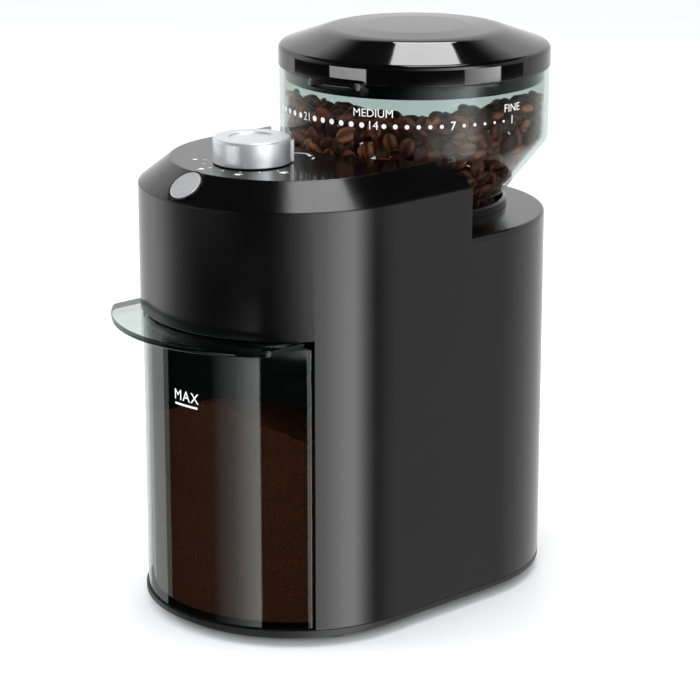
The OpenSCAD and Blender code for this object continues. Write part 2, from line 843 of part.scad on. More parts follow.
module start_button() {
    color("#c4c6c8") union() {
        on_button(-3.2) cylinder(h = 4.2, r = button_r);
        intersection() {
            on_button(-3.2) cylinder(h = 1.2, r = guide_r - 0.15);
            block(body_r - wall - 0.5, board_z, panel_z);
        }
        on_button(-6.6) cylinder(h = 4, r = 1.8);
    }
}

module button_bezel() {
    color("#0a0a0a") on_button(-bezel_depth) ring(bezel_r - 0.02, bezel_in, bezel_depth + 0.5);
}

module start_switch() {
    color("#2f2f33") union() {
        on_button(-guide_depth) cylinder(h = start_switch_h, r = guide_r - screw_fit);
        on_button(-guide_depth + start_switch_h - eps) cylinder(h = 0.6, r = 1.8);
    }
}

module button_spring() {
    bottom = -guide_depth + start_switch_h + 0.05;
    color("silver") on_button(bottom) linear_extrude(
        height = -3.25 - bottom, twist = -360 * spring_turns, slices = 56, $fn = 6)
        translate([spring_r, 0]) circle(r = spring_wire);
}

module control_board() {
    color("#1f6b3a") difference() {
        union() {
            translate([-board_x, knob_y - board_y, board_z]) cube([2 * board_x, 2 * board_y, board_t]);
            translate([-board_x + 4, knob_y - 12, board_z - 9 ]) cube([14, 10, 9 + eps]);
            translate([board_x - 14, knob_y - 6, board_z - 12]) cylinder(h = 12 + eps, r = 5);
        }
        for (x = [-1, 1], y = [-1, 1]) {
            translate([x * boss_x, knob_y + y * boss_y, board_z - 1])
                cylinder(h = board_t + 2, r = screw_r + screw_fit);
        }
    }
}

module board_screws() {
    color("silver") for (x = [-1, 1], y = [-1, 1]) {
        translate([x * boss_x, knob_y + y * boss_y, board_z]) screw(screw_r, 9, 2.4, 1.6);
    }
}

module cord_gland() {
    rear = arc_y + body_r;
    sleeve_r = gland_r + 0.4;
    tip_r = gland_hole_r + 1.2;
    color("#1c1c1c") difference() {
        union() {
            difference() {
                translate([0, rear + gland_flange, gland_z]) rotate([90, 0, 0])
                    cylinder(h = 8, r = gland_r + 2);
                block(body_r, 0, shoulder_z);
            }
            translate([0, rear + 1, gland_z]) rotate([90, 0, 0]) cylinder(h = wall + 4, r = gland_r);
            translate([0, rear + 1, gland_z]) rotate([-90, 0, 0])
                cylinder(h = gland_reach - 1, r1 = sleeve_r, r2 = tip_r);
        }
        translate([0, rear + gland_reach + 1, gland_z]) rotate([90, 0, 0])
            cylinder(h = body_w, r = gland_hole_r);
        // Grooves round the sleeve, so that it bends with the cord
        for (i = [1 : gland_grooves]) {
            translate([0, rear + gland_flange + i * groove_step, gland_z]) rotate([-90, 0, 0])
                ring(gland_r + 3, gland_hole_r + 0.9, groove_step / 2);
        }
    }
}

// ---------------------------------------------------------------- hopper and lid

module hopper() {
    corner = 3;
    half = (90 - atan(cone_slope)) / 2;
    corner_z = cone_z + (hopper_r - neck_r) * cone_slope;
    arc_z = corner_z + corner * tan(half);
    in_r = hopper_r - hopper_wall;
    dz = hopper_wall * 0.35;
    color([0.75, 0.8, 0.78, 0.4]) union() {
        on_axis() rotate_extrude() polygon(concat(
            [[throat_r, neck_z], [neck_r, neck_z], [neck_r, cone_z]],
            arc(hopper_r - corner, arc_z, corner, -2 * half, 0),
            [[hopper_r, rim_z], [in_r, rim_z]],
            arc(in_r - corner, arc_z + dz, corner, 0, -2 * half),
            [[neck_r - hopper_wall, cone_z + dz], [neck_r - hopper_wall, neck_z + 9],
                [throat_r, neck_z + 2]]
        ));
        spread([60, 180, 300]) translate([neck_r - 0.1 - key_l, -key_w / 2, neck_z - 2.4])
            cube([key_l, key_w, 3]);
    }
}

module hopper_lid() {
    r = hopper_r + 0.5;
    top = rim_z + lid_h + rest_gap;
    base = rim_z + rest_gap;
    skirt = hopper_r - hopper_wall - slide_gap;
    crown = hopper_r * 0.65;
    slope = atan((lid_h - 10.5) / (r - 2.5 - crown));
    color("#0f0f10") union() {
        on_axis() rotate_extrude() polygon(concat(
            [[0, top - 1.2], [crown - 2, top - 0.5], [crown, top]],
            arc(r - 4, base + 6.4, 4, 90 - slope, 0),
            [[r, base], [skirt, base], [skirt, base - 6], [skirt - 1.6, base - 6], [skirt - 1.6, base + 6],
             [crown - 1, top - 2.6], [0, top - 3.4]]
        ));
        // Tab for a finger at the edge of the lid
        intersection() {
            on_axis(base - 1.6) rotate([0, 0, -78]) translate([hopper_r - 14, 0, 0])
                cylinder(h = 3.4, r = 18.5);
            on_axis(base - 2) ring(hopper_r + 5, hopper_r + 0.4, 4.2);
        }
    }
}

// ---------------------------------------------------------------- container

// Flat outline of the container: the body's front arc between two flat sides
module container_outline(margin) {
    intersection() {
        translate([0, -arc_y]) circle(container_r - margin);
        translate([-container_half + margin, -body_l])
            square([2 * (container_half - margin), body_l + container_back - margin]);
    }
}

module container() {
    color([0.45, 0.5, 0.48, 0.45]) difference() {
        translate([0, 0, container_z]) linear_extrude(container_top - container_z) container_outline(0);
        translate([0, 0, container_z + container_wall]) linear_extrude(container_top)
            container_outline(container_wall);
        translate([-chute_half + 1, container_back - 5, mouth_z + 1])
            cube([2 * (chute_half - 1), 10, mouth_h - 2]);
    }
}

// Flat outline of the lid: a wide arc in front with rounded corners
module lip_outline() {
    corner_y = lip_y - sqrt(pow(lip_r - lip_corner, 2) - pow(lip_half - lip_corner, 2));
    corner_x = lip_half - lip_corner;
    away = atan2(corner_y - lip_y, corner_x);
    difference() {
        intersection() {
            translate([0, lip_y]) circle(lip_r);
            translate([-lip_half, -body_l]) square([2 * lip_half, body_l + container_back]);
        }
        for (side = [0, 1]) mirror([side, 0]) translate([corner_x, corner_y]) difference() {
            polygon([[0, 0], [20, 0], [20, -20], 30 * [cos(away), sin(away)]]);
            circle(lip_corner);
        }
    }
}

module container_lid() {
    rim = container_wall + slide_gap;
    color([0.35, 0.4, 0.38, 0.55]) union() {
        translate([0, 0, container_lid_z]) linear_extrude(container_lid_t) lip_outline();
        translate([0, 0, container_lid_z - rim_lip_h]) linear_extrude(rim_lip_h + eps) difference() {
            container_outline(rim);
            container_outline(rim + 1.6);
        }
    }
}

base_plate();
feet();
base_screws();
main_housing();
container_bay();
control_panel();
rear_deck();
hopper_collar();
collar_screws();
grinding_chamber();
exit_chute();
chamber_bearing();
adjusting_ring();
burr_carrier();
upper_burr();
upper_burr_screws();
lower_burr();
sweeper();
feed_impeller();
burr_nut();
burr_shaft();
lower_bearing();
output_gear();
idler_gear();
idler_pin();
gearbox_housing();
bearing_plate();
gearbox_cover();
gearbox_screws();
motor_can();
motor_shaft();
motor_pinion();
motor_cushion();
selector_knob();
knob_shaft();
selector_switch();
start_button();
button_bezel();
button_spring();
start_switch();
control_board();
board_screws();
cord_gland();
hopper();
hopper_lid();
container();
container_lid();
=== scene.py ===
# %% [markdown]
# # A burr coffee grinder in gloss black, clear plastic and satin silver
# The grinder is a moulded housing with a clear bean hopper on its rear deck, a panel with a
# silver knob and button in front, and a clear container that pulls out under a smoked lip.
# The frame gives every body and its place. Here each visible shell gets its real edges and
# finish, and the beans, the ground coffee and the printed marks are added.

# %% Open the frame and keep its box
import json
import math

import bmesh
import bpy
from mathutils import Matrix, Vector, noise


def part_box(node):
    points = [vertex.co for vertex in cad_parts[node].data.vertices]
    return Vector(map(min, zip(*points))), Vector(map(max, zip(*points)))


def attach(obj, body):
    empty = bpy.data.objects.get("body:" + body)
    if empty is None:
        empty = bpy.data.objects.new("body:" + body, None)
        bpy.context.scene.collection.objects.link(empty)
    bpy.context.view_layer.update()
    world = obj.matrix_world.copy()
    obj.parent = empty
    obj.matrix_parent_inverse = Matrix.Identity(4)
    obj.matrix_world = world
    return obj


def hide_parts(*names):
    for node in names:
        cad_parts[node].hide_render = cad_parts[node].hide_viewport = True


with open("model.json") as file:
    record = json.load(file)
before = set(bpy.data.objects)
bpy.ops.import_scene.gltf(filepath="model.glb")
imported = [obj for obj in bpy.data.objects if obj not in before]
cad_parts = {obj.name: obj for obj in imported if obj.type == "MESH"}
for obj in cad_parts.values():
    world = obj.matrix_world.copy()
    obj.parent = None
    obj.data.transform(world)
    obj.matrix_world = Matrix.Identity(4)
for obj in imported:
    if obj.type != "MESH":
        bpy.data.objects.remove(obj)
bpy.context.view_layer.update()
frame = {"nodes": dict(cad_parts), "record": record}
nodes = frame["nodes"]
MM = 0.001

# %% [markdown]
# ## The grinder's own sizes
# Everything is placed from the nodes' boxes, so a change of the frame carries through. The
# body's outline is two half circles joined by flat sides, and the hopper stands on one
# upright axis behind its middle.

# %% Read the main sizes from the frame
body_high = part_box("main_housing")[1]
body_r = body_high.x
arc_y = body_high.y - body_r
hopper_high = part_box("hopper")[1]
hopper_r = hopper_high.x
hopper_y = hopper_high.y - hopper_r
rim_z = hopper_high.z
deck_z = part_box("rear_deck")[1].z
panel_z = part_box("control_panel")[1].z
print("body radius", round(body_r / MM, 1), "mm; hopper radius", round(hopper_r / MM, 1), "mm")

# %% [markdown]
# ## Small helpers
# A colour is easiest to choose as the six-digit code that paint and plastic charts use, but
# the shader wants linear light, so one function converts it. A second one adds a node to a
# material or to a Geometry Nodes tree and sets its inputs by name. The others give a finish
# its pattern: where it is dark or bright, rough or smooth, raised or sunk.

# %% Colour codes and nodes
def linear(code):
    """The linear colour of a six-digit sRGB code."""
    parts = [int(code[i : i + 2], 16) / 255 for i in (1, 3, 5)]
    return [c / 12.92 if c <= 0.04045 else ((c + 0.055) / 1.055) ** 2.4 for c in parts] + [1.0]


def add(tree, kind, inputs=None, **settings):
    """Adds a node; an input's value may be a number, a colour or another node's output."""
    made = tree.nodes.new(kind if "Node" in kind else "ShaderNode" + kind)
    for name, value in settings.items():
        setattr(made, name, value)
    for name, value in (inputs or {}).items():
        if isinstance(value, bpy.types.NodeSocket):
            tree.links.new(value, made.inputs[name])
        else:
            made.inputs[name].default_value = value
    return made


def finish_named(name, **shader):
    """A new material with its shader's constants set; returns it, its tree and the shader."""
    material = bpy.data.materials.new(name)
    material.use_nodes = True
    tree = material.node_tree
    surface = tree.nodes["Principled BSDF"]
    for socket, value in shader.items():
        surface.inputs[socket.replace("_", " ")].default_value = value
    return material, tree, surface


def set_stops(ramp_node, stops):
    """Gives a colour ramp its stops, each a position and a linear colour, in rising order."""
    ramp = ramp_node.color_ramp
    ramp.elements[0].position, ramp.elements[1].position = stops[0][0], stops[-1][0]
    ramp.elements[0].color, ramp.elements[1].color = stops[0][1], stops[-1][1]
    for position, colour in stops[1:-1]:
        ramp.elements.new(position).color = colour


def object_noise(tree, size_mm, detail=2.0, rough=0.5, stretch=(1, 1, 1)):
    """Noise in real millimetres on the object's own coordinates."""
    place = add(tree, "TexCoord").outputs["Object"]
    mapped = add(tree, "Mapping", {"Vector": place, "Scale": stretch}).outputs["Vector"]
    return add(tree, "TexNoise", {"Vector": mapped, "Scale": 1000 / size_mm, "Detail": detail,
                                  "Roughness": rough}).outputs["Fac"]


def spread_between(tree, source, low, high, start=0.3, end=0.7):
    """Maps a pattern's middle range to low..high."""
    return add(tree, "MapRange", {"Value": source, "From Min": start, "From Max": end,
                                  "To Min": low, "To Max": high}).outputs["Result"]


def coloured(tree, surface, pattern, first, second):
    """Gives the surface two linear colours, mixed by a pattern."""
    tone = add(tree, "Mix", {"Factor": spread_between(tree, pattern, 0, 1), 6: first, 7: second},
               data_type="RGBA")
    tree.links.new(tone.outputs[2], surface.inputs["Base Color"])


def worn(tree, surface, pattern, smoothest, roughest):
    """Gives the surface a roughness that wanders with a pattern."""
    tree.links.new(spread_between(tree, pattern, smoothest, roughest), surface.inputs["Roughness"])


def raised(tree, surface, pattern, strength, depth_mm):
    """Gives the surface a fine relief from a pattern."""
    bump = add(tree, "Bump", {"Height": pattern, "Strength": strength, "Distance": depth_mm * MM})
    tree.links.new(bump.outputs["Normal"], surface.inputs["Normal"])


# %% [markdown]
# ## The plastics of the housing
# The housing is injection-moulded ABS from a polished mould. Such a surface is close to a
# mirror for light at a low angle and nearly black from above; what gives it away as plastic
# is a very long, shallow ripple from cooling, and a roughness that is not quite even where
# it has been wiped. The lid has the sharpest mirror. The bay and the base come from eroded
# moulds, which leave a fine matt grain.

# %% Gloss black ABS
def gloss_black(name, clean, wiped):
    # Deep black whose reflections keep their edges, with a slow ripple and wiped patches
    material, tree, surface = finish_named(name, Roughness=clean, IOR=1.53)
    worn(tree, surface, object_noise(tree, 26, 3.0), clean, wiped)
    coloured(tree, surface, object_noise(tree, 40), linear("#030303"), linear("#060606"))
    raised(tree, surface, object_noise(tree, 9, 1.0), 0.05, 0.2)
    return material


def grained_black(name, code, rough, grain_mm):
    # Eroded-mould grain: even sparkle-free grey sheen, darker than the gloss from low angles
    material, tree, surface = finish_named(name, Roughness=rough, IOR=1.5)
    grain = object_noise(tree, grain_mm, 3.0, 0.6)
    lighter = [min(1, 1.5 * c + 0.002) for c in linear(code)[:3]] + [1]
    coloured(tree, surface, grain, linear(code), lighter)
    raised(tree, surface, grain, 0.3, 0.03)
    worn(tree, surface, grain, rough - 0.06, rough + 0.06)
    return material


black_abs = gloss_black("polished_black_abs", 0.13, 0.18)
lid_black = gloss_black("mirror_black_abs", 0.04, 0.07)
grained_abs = grained_black("eroded_black_abs", "#0C0C0D", 0.42, 0.6)
bay_abs = grained_black("eroded_bay_abs", "#222627", 0.5, 0.8)
rubber = grained_black("matt_black_rubber", "#121212", 0.75, 0.9)
print("made", black_abs.name, lid_black.name, grained_abs.name, bay_abs.name, rubber.name)

# %% [markdown]
# ## Clear and smoked plastic
# The hopper and the container are moulded from clear SAN, which is stiff, cheap and faintly
# green through its edge. Real refraction through a 2 mm wall hardly shows, while its tint
# and its sharp surface reflections do. So the wall is a tinted window mixed with a mirror.
# The mirror's share is small where the wall is seen face on and grows steeply towards its
# sides, as a clear plastic's does. Lamps shine through the wall, and what lies behind it
# stays bright and free of grain.

# %% Clear SAN and its smoked version
def see_through(name, code, edge_code, side_code, head_on):
    # Passes most light with a green cast, and mirrors the soft boxes more and more side-on
    material, tree, surface = finish_named(name, Roughness=0.03, Metallic=1.0)
    surface.inputs["Base Color"].default_value = linear("#F4F8F7")
    facing = add(tree, "LayerWeight", {"Blend": 0.5}).outputs["Facing"]
    wave = object_noise(tree, 30, 1.0)
    tint = add(tree, "Mix", {"Factor": spread_between(tree, facing, 0, 1, 0.35, 1.0),
                             6: linear(code), 7: linear(edge_code)}, data_type="RGBA")
    # An upright rim of a flat piece is looked at along the plastic and is far darker
    upright = add(tree, "SeparateXYZ", {"Vector": add(tree, "TexCoord").outputs["Normal"]})
    flat = add(tree, "Math", {0: upright.outputs["Z"]}, operation="ABSOLUTE").outputs[0]
    rim = add(tree, "Mix", {"Factor": spread_between(tree, flat, 0, 1, 0.5, 0.9),
                            6: linear(side_code), 7: tint.outputs[2]}, data_type="RGBA")
    # Light on its way to what lies behind the wall isn't tinted twice
    ray = add(tree, "LightPath")
    passing = add(tree, "Math", {0: ray.outputs["Is Shadow Ray"],
                                 1: ray.outputs["Is Diffuse Ray"]}, operation="MAXIMUM").outputs[0]
    shown = add(tree, "Mix", {"Factor": passing, 6: rim.outputs[2], 7: (1, 1, 1, 1)},
                data_type="RGBA")
    window = add(tree, "BsdfTransparent", {"Color": shown.outputs[2]})
    steep = add(tree, "Math", {0: facing, 1: 5.0}, operation="POWER").outputs[0]
    mirror = add(tree, "MapRange", {"Value": steep, "To Min": head_on, "To Max": 1.0}).outputs[0]
    # A slow wave left by the mould makes the mirror slightly uneven
    share = add(tree, "Math", {0: mirror, 1: spread_between(tree, wave, 0.0028, 0.0052)},
                operation="ADD", use_clamp=True)
    both = add(tree, "MixShader", {0: share.outputs[0], 1: window.outputs[0],
                                   2: surface.outputs[0]})
    tree.links.new(both.outputs[0], tree.nodes["Material Output"].inputs["Surface"])
    return material


clear_san = see_through("clear_green_san", "#E3E9E7", "#C3CECA", "#E3E9E7", 0.012)
container_san = see_through("container_smoked_san", "#E0E6E4", "#A6B0AD", "#E0E6E4", 0.042)
lip_san = see_through("lip_smoked_san", "#F0F3F2", "#CFD7D4", "#48504E", 0.03)
print("see-through plastics:", clear_san.name, container_san.name, lip_san.name)

# %% [markdown]
# ## Satin silver, prints, steel and nylon
# The knob and button are plastic with a satin silver lacquer: metal flakes lie in a clear
# coat, so it is neither a mirror nor grey paint. The prints are pad-printed ink. The
# hidden works are steel, brass, nylon and a circuit board, each with its own grain, because
# they come into view when the hopper and container are taken out.

# %% Metals and lacquer
def satin_silver():
    # Soft bright sheen from metal flakes that lie under a clear coat
    material, tree, surface = finish_named("satin_silver_lacquer", Metallic=0.75, Roughness=0.34)
    surface.inputs["Coat Weight"].default_value = 0.25
    surface.inputs["Coat Roughness"].default_value = 0.2
    flakes = object_noise(tree, 0.35, 2.0, 0.7)
    coloured(tree, surface, flakes, linear("#C9CACC"), linear("#E6E7E8"))
    worn(tree, surface, object_noise(tree, 7), 0.3, 0.4)
    raised(tree, surface, flakes, 0.12, 0.05)
    return material


def worked_metal(name, dark, light, rough):
    # Machined metal: fine lines one way, with slightly uneven shine
    material, tree, surface = finish_named(name, Metallic=1.0, Roughness=rough)
    lines = object_noise(tree, 2.0, 4.0, 0.6, stretch=(1, 1, 12))
    coloured(tree, surface, lines, linear(dark), linear(light))
    worn(tree, surface, lines, rough - 0.08, rough + 0.1)
    raised(tree, surface, lines, 0.2, 0.05)
    return material


silver = satin_silver()
burr_steel = worked_metal("ground_burr_steel", "#7C7E82", "#A9ABAF", 0.32)
bright_steel = worked_metal("zinc_plated_steel", "#A6A8AC", "#CED0D3", 0.28)
motor_steel = worked_metal("rolled_motor_steel", "#73767A", "#989BA0", 0.42)
brass = worked_metal("machined_brass", "#B08A3E", "#D3B062", 0.3)
grey_nylon = grained_black("glass_filled_nylon", "#28282B", 0.55, 0.8)
white_nylon = grained_black("natural_acetal", "#CFC9BB", 0.4, 1.2)
board_green = grained_black("solder_resist", "#0E4A22", 0.35, 1.5)
switch_blue = grained_black("switch_moulding", "#24334E", 0.5, 0.9)


def pad_ink(name, thin, full):
    # Pad-printed ink: an even colour with tiny pinholes and soft, slightly thin patches
    material, tree, surface = finish_named(name, Roughness=0.45, IOR=1.48)
    coloured(tree, surface, object_noise(tree, 0.8, 3.0), linear(thin), linear(full))
    return material


ink = pad_ink("white_pad_print", "#E2E2E0", "#F6F6F4")
grey_ink = pad_ink("grey_pad_print", "#808285", "#97999C")
print("made", silver.name, ink.name, "and", burr_steel.name)

# %% Give every carried-over node its finish
finishes = {
    "black_gloss": black_abs, "black_matte": grained_abs, "clear_plastic": clear_san,
    "smoked_plastic": lip_san, "satin_silver": silver, "rubber_black": rubber,
    "grey_nylon": grey_nylon, "white_nylon": white_nylon, "burr_steel": burr_steel,
    "bright_steel": bright_steel, "motor_steel": motor_steel, "brass": brass,
    "board_green": board_green, "switch_blue": switch_blue,
}
slots = {part["node"]: part["material_slot"] for part in frame["record"]["subparts"]}
for name, node in nodes.items():
    if not node.material_slots:
        node.data.materials.append(None)
    for place in node.material_slots:
        place.material = bay_abs if name == "container_bay" else finishes[slots[name]]
print("painted", len(nodes), "nodes")

# %% [markdown]
# ## Camera, light and floor
# The camera stands in front and to the right, a little above the lid, with a long lens as
# for a product shot. Gloss black shows nothing but what it mirrors, so the room is drawn
# for the reflections: tall soft boxes at set directions round the object with black gaps
# between them, and a bright wall behind. The floor takes the light and the shadows, but is
# left out of the reflections, as if the grinder stood on a small sheet of glass.

# %% Camera
YAW, PITCH = math.radians(46.9), math.radians(16.2)
DISTANCE, TARGET = 1.184, Vector((3.1, 0, 105.9)) * MM
lens = bpy.data.cameras.new("product_lens")
lens.lens = 138.7
lens.sensor_width = 36
lens.clip_start = 0.05
camera = bpy.data.objects.new("product_camera", lens)
forward = Vector((-math.sin(YAW) * math.cos(PITCH), math.cos(YAW) * math.cos(PITCH),
                  -math.sin(PITCH)))
camera.location = TARGET - forward * DISTANCE
camera.rotation_euler = forward.to_track_quat("-Z", "Y").to_euler()
bpy.context.scene.collection.objects.link(camera)
bpy.context.scene.camera = camera
bpy.context.scene.view_settings.view_transform = "Standard"
print("camera", [round(c, 3) for c in camera.location], "lens", lens.lens, "mm")

# %% The room: what the gloss mirrors, and what lights everything else
# Radiance by compass direction, in degrees from the grinder's right-hand side
REFLECTED = [
    (-180, 1.0), (-168, 1.35), (-155, 1.3), (-137, 0.45), (-117, 0.08), (-97, 0.01),
    (-74, 0.01), (-57, 0.06), (-47, 0.28), (-37, 0.73), (-17, 2.3), (0, 4.1), (6, 4.1),
    (15, 1.3), (23, 0.16), (33, 0.42), (43, 0.56), (63, 0.7), (83, 0.82), (103, 0.9),
    (125, 0.95), (150, 0.95), (168, 0.95), (180, 1.0),
]


def studio_room():
    world = bpy.data.worlds.new("studio_room")
    bpy.context.scene.world = world
    world.use_nodes = True
    # Rays find the room by themselves, so that a glossy ray always meets the soft boxes
    world.cycles.sampling_method = "NONE"
    tree = world.node_tree
    tree.nodes.clear()
    way = add(tree, "TexCoord").outputs["Generated"]
    part = add(tree, "SeparateXYZ", {"Vector": way})
    turn = add(tree, "Math", {0: part.outputs["Y"], 1: part.outputs["X"]}, operation="ARCTAN2")
    share = add(tree, "MapRange", {"Value": turn.outputs[0], "From Min": -math.pi,
                                   "From Max": math.pi})
    boxes = add(tree, "ValToRGB", {"Fac": share.outputs["Result"]})
    strongest = max(level for _, level in REFLECTED)
    set_stops(boxes, [((angle + 180) / 360, [level / strongest] * 3 + [1])
                      for angle, level in REFLECTED])
    up = part.outputs["Z"]
    # The wall of light fades overhead, where two boxes hang
    fade = add(tree, "MapRange", {"Value": up, "From Min": 0.5, "From Max": 0.66,
                                  "To Min": 1, "To Max": 0.02}, interpolation_type="SMOOTHSTEP")
    level = add(tree, "Math", {0: boxes.outputs["Color"], 1: fade.outputs["Result"]},
                operation="MULTIPLY")
    mirrored = add(tree, "Background", {"Strength": strongest, "Color": level.outputs[0]})
    lit = add(tree, "Background", {"Color": linear("#F4F6F8"), "Strength": 1.12})
    seen = add(tree, "Background", {"Color": linear("#FDFDFD"), "Strength": 1.0})
    ray = add(tree, "LightPath")
    not_seen = add(tree, "MixShader", {0: ray.outputs["Is Glossy Ray"], 1: lit.outputs[0],
                                       2: mirrored.outputs[0]})
    mixed = add(tree, "MixShader", {0: ray.outputs["Is Camera Ray"], 1: not_seen.outputs[0],
                                    2: seen.outputs[0]})
    return add(tree, "OutputWorld", {"Surface": mixed.outputs[0]})


studio_room()
print("the room has", len(REFLECTED), "stops of light")


# %% Lamps
def soft_box(name, place, aim, width, height, power, mirrored=True):
    lamp = bpy.data.lights.new(name, "AREA")
    lamp.shape = "RECTANGLE"
    lamp.size, lamp.size_y, lamp.energy = width, height, power
    obj = bpy.data.objects.new(name, lamp)
    obj.location = place
    obj.rotation_euler = (Vector(aim) - Vector(place)).to_track_quat("-Z", "Y").to_euler()
    obj.visible_camera = False
    obj.visible_glossy = mirrored
    bpy.context.scene.collection.objects.link(obj)


soft_box("overhead_fill", (0.1, -0.1, 1.6), (0, 0, 0.1), 1.6, 1.6, 1.5, mirrored=False)
soft_box("border_box", (0.155, 0.165, 1.5), (0, -0.03, 0.19), 0.6, 0.6, 5.6)
soft_box("key_left", (-0.9, -0.9, 1.1), (0, 0, 0.15), 0.8, 0.8, 7, mirrored=False)
soft_box("lid_box", (-0.42, 0.5, 1.0), (0, 0.04, 0.23), 0.22, 0.32, 1.35)
soft_box("front_fill", (1.0, -1.1, 0.7), (0, 0, 0.18), 0.7, 0.7, 9, mirrored=False)
print("five lamps stand round the table")

# %% [markdown]
# Two bent cards stand close to the grinder. One mirrors only in the container, below the
# lip, and gives its wall upright bands of light with hard edges. The other is level with the
# lid's band and puts two bright patches on it. The cards give no light of their own to
# anything matt.

# %% Cards that show only in the gloss
CARD_R = 0.6
CARD_STEP = 4


def bent_card(name, stops, centre_y, low, high):
    """A round strip of light; stops are (compass direction in degrees, brightness)."""
    points, faces, glow = [], [], []
    for (start, first), (end, last) in zip(stops, stops[1:]):
        steps = max(1, round(abs(end - start) / CARD_STEP))
        for k in range(steps + 1):
            a = math.radians(start + (end - start) * k / steps)
            spot = len(points)
            x, y = CARD_R * math.cos(a), centre_y + CARD_R * math.sin(a)
            points += [(x, y, z) for z in (low, high)]
            glow += [first + (last - first) * k / steps] * 2
            if k:
                faces.append((spot - 2, spot, spot + 1, spot - 1))
    mesh = bpy.data.meshes.new(name)
    mesh.from_pydata(points, [], faces)
    mesh.attributes.new("glow", "FLOAT", "POINT").data.foreach_set("value", glow)
    material = bpy.data.materials.new(name)
    material.use_nodes = True
    material.cycles.emission_sampling = "NONE"
    tree = material.node_tree
    tree.nodes.remove(tree.nodes["Principled BSDF"])
    level = add(tree, "Attribute", attribute_name="glow").outputs["Fac"]
    light = add(tree, "Emission", {"Strength": level})
    tree.links.new(light.outputs[0], tree.nodes["Material Output"].inputs["Surface"])
    mesh.materials.append(material)
    card = bpy.data.objects.new(name, mesh)
    bpy.context.scene.collection.objects.link(card)
    card.visible_camera = card.visible_diffuse = card.visible_shadow = False


bent_card("container_card", [
    (-190, 0.4), (-172, 0.7), (-155, 1.1), (-155, 0.0), (-104, 0.03), (-85, 0.6), (-66, 2.0),
    (-66, 0.01), (-31.5, 0.01)], -arc_y, -0.24, -0.031)
bent_card("lid_card", [
    (-160, 0.05), (-116, 0.0), (-116, 5.0), (-83, 6.4), (-83, 0.0), (-4, 0.0), (-4, 2.4),
    (29, 8.0), (29, 0.0), (55, 0.1)], hopper_y, 0.125, 0.16)
print("two cards stand round the grinder")


# %% Floor
def table_top():
    material, tree, surface = finish_named("pale_table", Roughness=0.6)
    coloured(tree, surface, object_noise(tree, 300), linear("#F2F2F2"), linear("#F6F6F6"))
    form = bmesh.new()
    bmesh.ops.create_circle(form, cap_ends=True, segments=96, radius=30)
    mesh = bpy.data.meshes.new("table_top")
    form.to_mesh(mesh)
    mesh.materials.append(material)
    floor = bpy.data.objects.new("table_top", mesh)
    bpy.context.scene.collection.objects.link(floor)
    floor.visible_glossy = False


table_top()
print("the table is at z = 0")

# %% [markdown]
# ## Turned and drawn shapes
# The hopper and its lid are a section turned about an axis.
# On a real moulding no edge is sharp: the tool leaves a radius of a few tenths, and that
# radius is what catches the light. So corners are rounded in the section itself, by a helper
# that swaps each corner for a short arc, and the shape is made from the rounded section.

# %% Round a section's corners
def rounded(points, steps=5):
    """Points are (x, y, radius); each corner becomes an arc of that radius."""
    out = []
    count = len(points)
    for i, (x, y, r) in enumerate(points):
        here = Vector((x, y))
        if r <= 0:
            out.append((x, y))
            continue
        back = Vector(points[i - 1][:2]) - here
        ahead = Vector(points[(i + 1) % count][:2]) - here
        angle = back.angle(ahead)
        reach = min(r / math.tan(angle / 2), 0.49 * back.length, 0.49 * ahead.length)
        radius = reach * math.tan(angle / 2)
        inward = (back.normalized() + ahead.normalized()).normalized()
        middle = here + inward * radius / math.sin(angle / 2)
        start = here + back.normalized() * reach - middle
        swing = start.angle_signed(here + ahead.normalized() * reach - middle)
        for k in range(steps + 1):
            turn = -swing * k / steps
            out.append((middle.x + start.x * math.cos(turn) - start.y * math.sin(turn),
                        middle.y + start.x * math.sin(turn) + start.y * math.cos(turn)))
    return out


def piece_from(name, points, faces, material, smooth=35):
    """A new object from points and faces, merged, facing outwards and smooth up to an angle."""
    mesh = bpy.data.meshes.new(name)
    mesh.from_pydata(points, [], faces)
    form = bmesh.new()
    form.from_mesh(mesh)
    bmesh.ops.remove_doubles(form, verts=form.verts, dist=1e-6)
    bmesh.ops.recalc_face_normals(form, faces=form.faces)
    form.to_mesh(mesh)
    form.free()
    mesh.shade_smooth()
    mesh.set_sharp_from_angle(angle=math.radians(smooth))
    mesh.materials.append(material)
    obj = bpy.data.objects.new(name, mesh)
    bpy.context.scene.collection.objects.link(obj)
    return obj


FLATNESS = 80


def plain_mesh(obj):
    """What the object's modifiers make of it, as a mesh of its own; clears the modifiers."""
    ready = obj.evaluated_get(bpy.context.evaluated_depsgraph_get())
    mesh = bpy.data.meshes.new_from_object(ready)
    obj.modifiers.clear()
    return mesh


def turned(name, section, centre, material, around=160, smooth=35):
    """A closed section of (radius, height) turned about an upright axis at centre."""
    points, faces = [], []
    rows = len(section)
    for i in range(around):
        a = 2 * math.pi * i / around
        points += [(centre[0] + r * math.cos(a), centre[1] + r * math.sin(a), z)
                   for r, z in section]
    for i in range(around):
        j = (i + 1) % around
        for k in range(rows):
            m = (k + 1) % rows
            faces.append((i * rows + k, j * rows + k, j * rows + m, i * rows + m))
    obj = piece_from(name, points, faces, material, smooth)
    # Large faces rule the shading, so that a straight wall mirrors as a straight wall
    flat = obj.modifiers.new("flat", "WEIGHTED_NORMAL")
    flat.weight, flat.keep_sharp = FLATNESS, True
    obj.data = plain_mesh(obj)
    return obj


corner = rounded([(0, 0, 1), (4, 0, 0), (4, 4, 0)])
print("a square corner of radius 1 gives", len(corner), "points")

# %% [markdown]
# ## The bean hopper
# The hopper is one clear moulding: a neck that stands in the collar, a cone and an upright
# band with a plain rim. It is turned from one section with an even wall. The keys under its
# neck sit in the adjusting ring and don't show, so they are left out here.

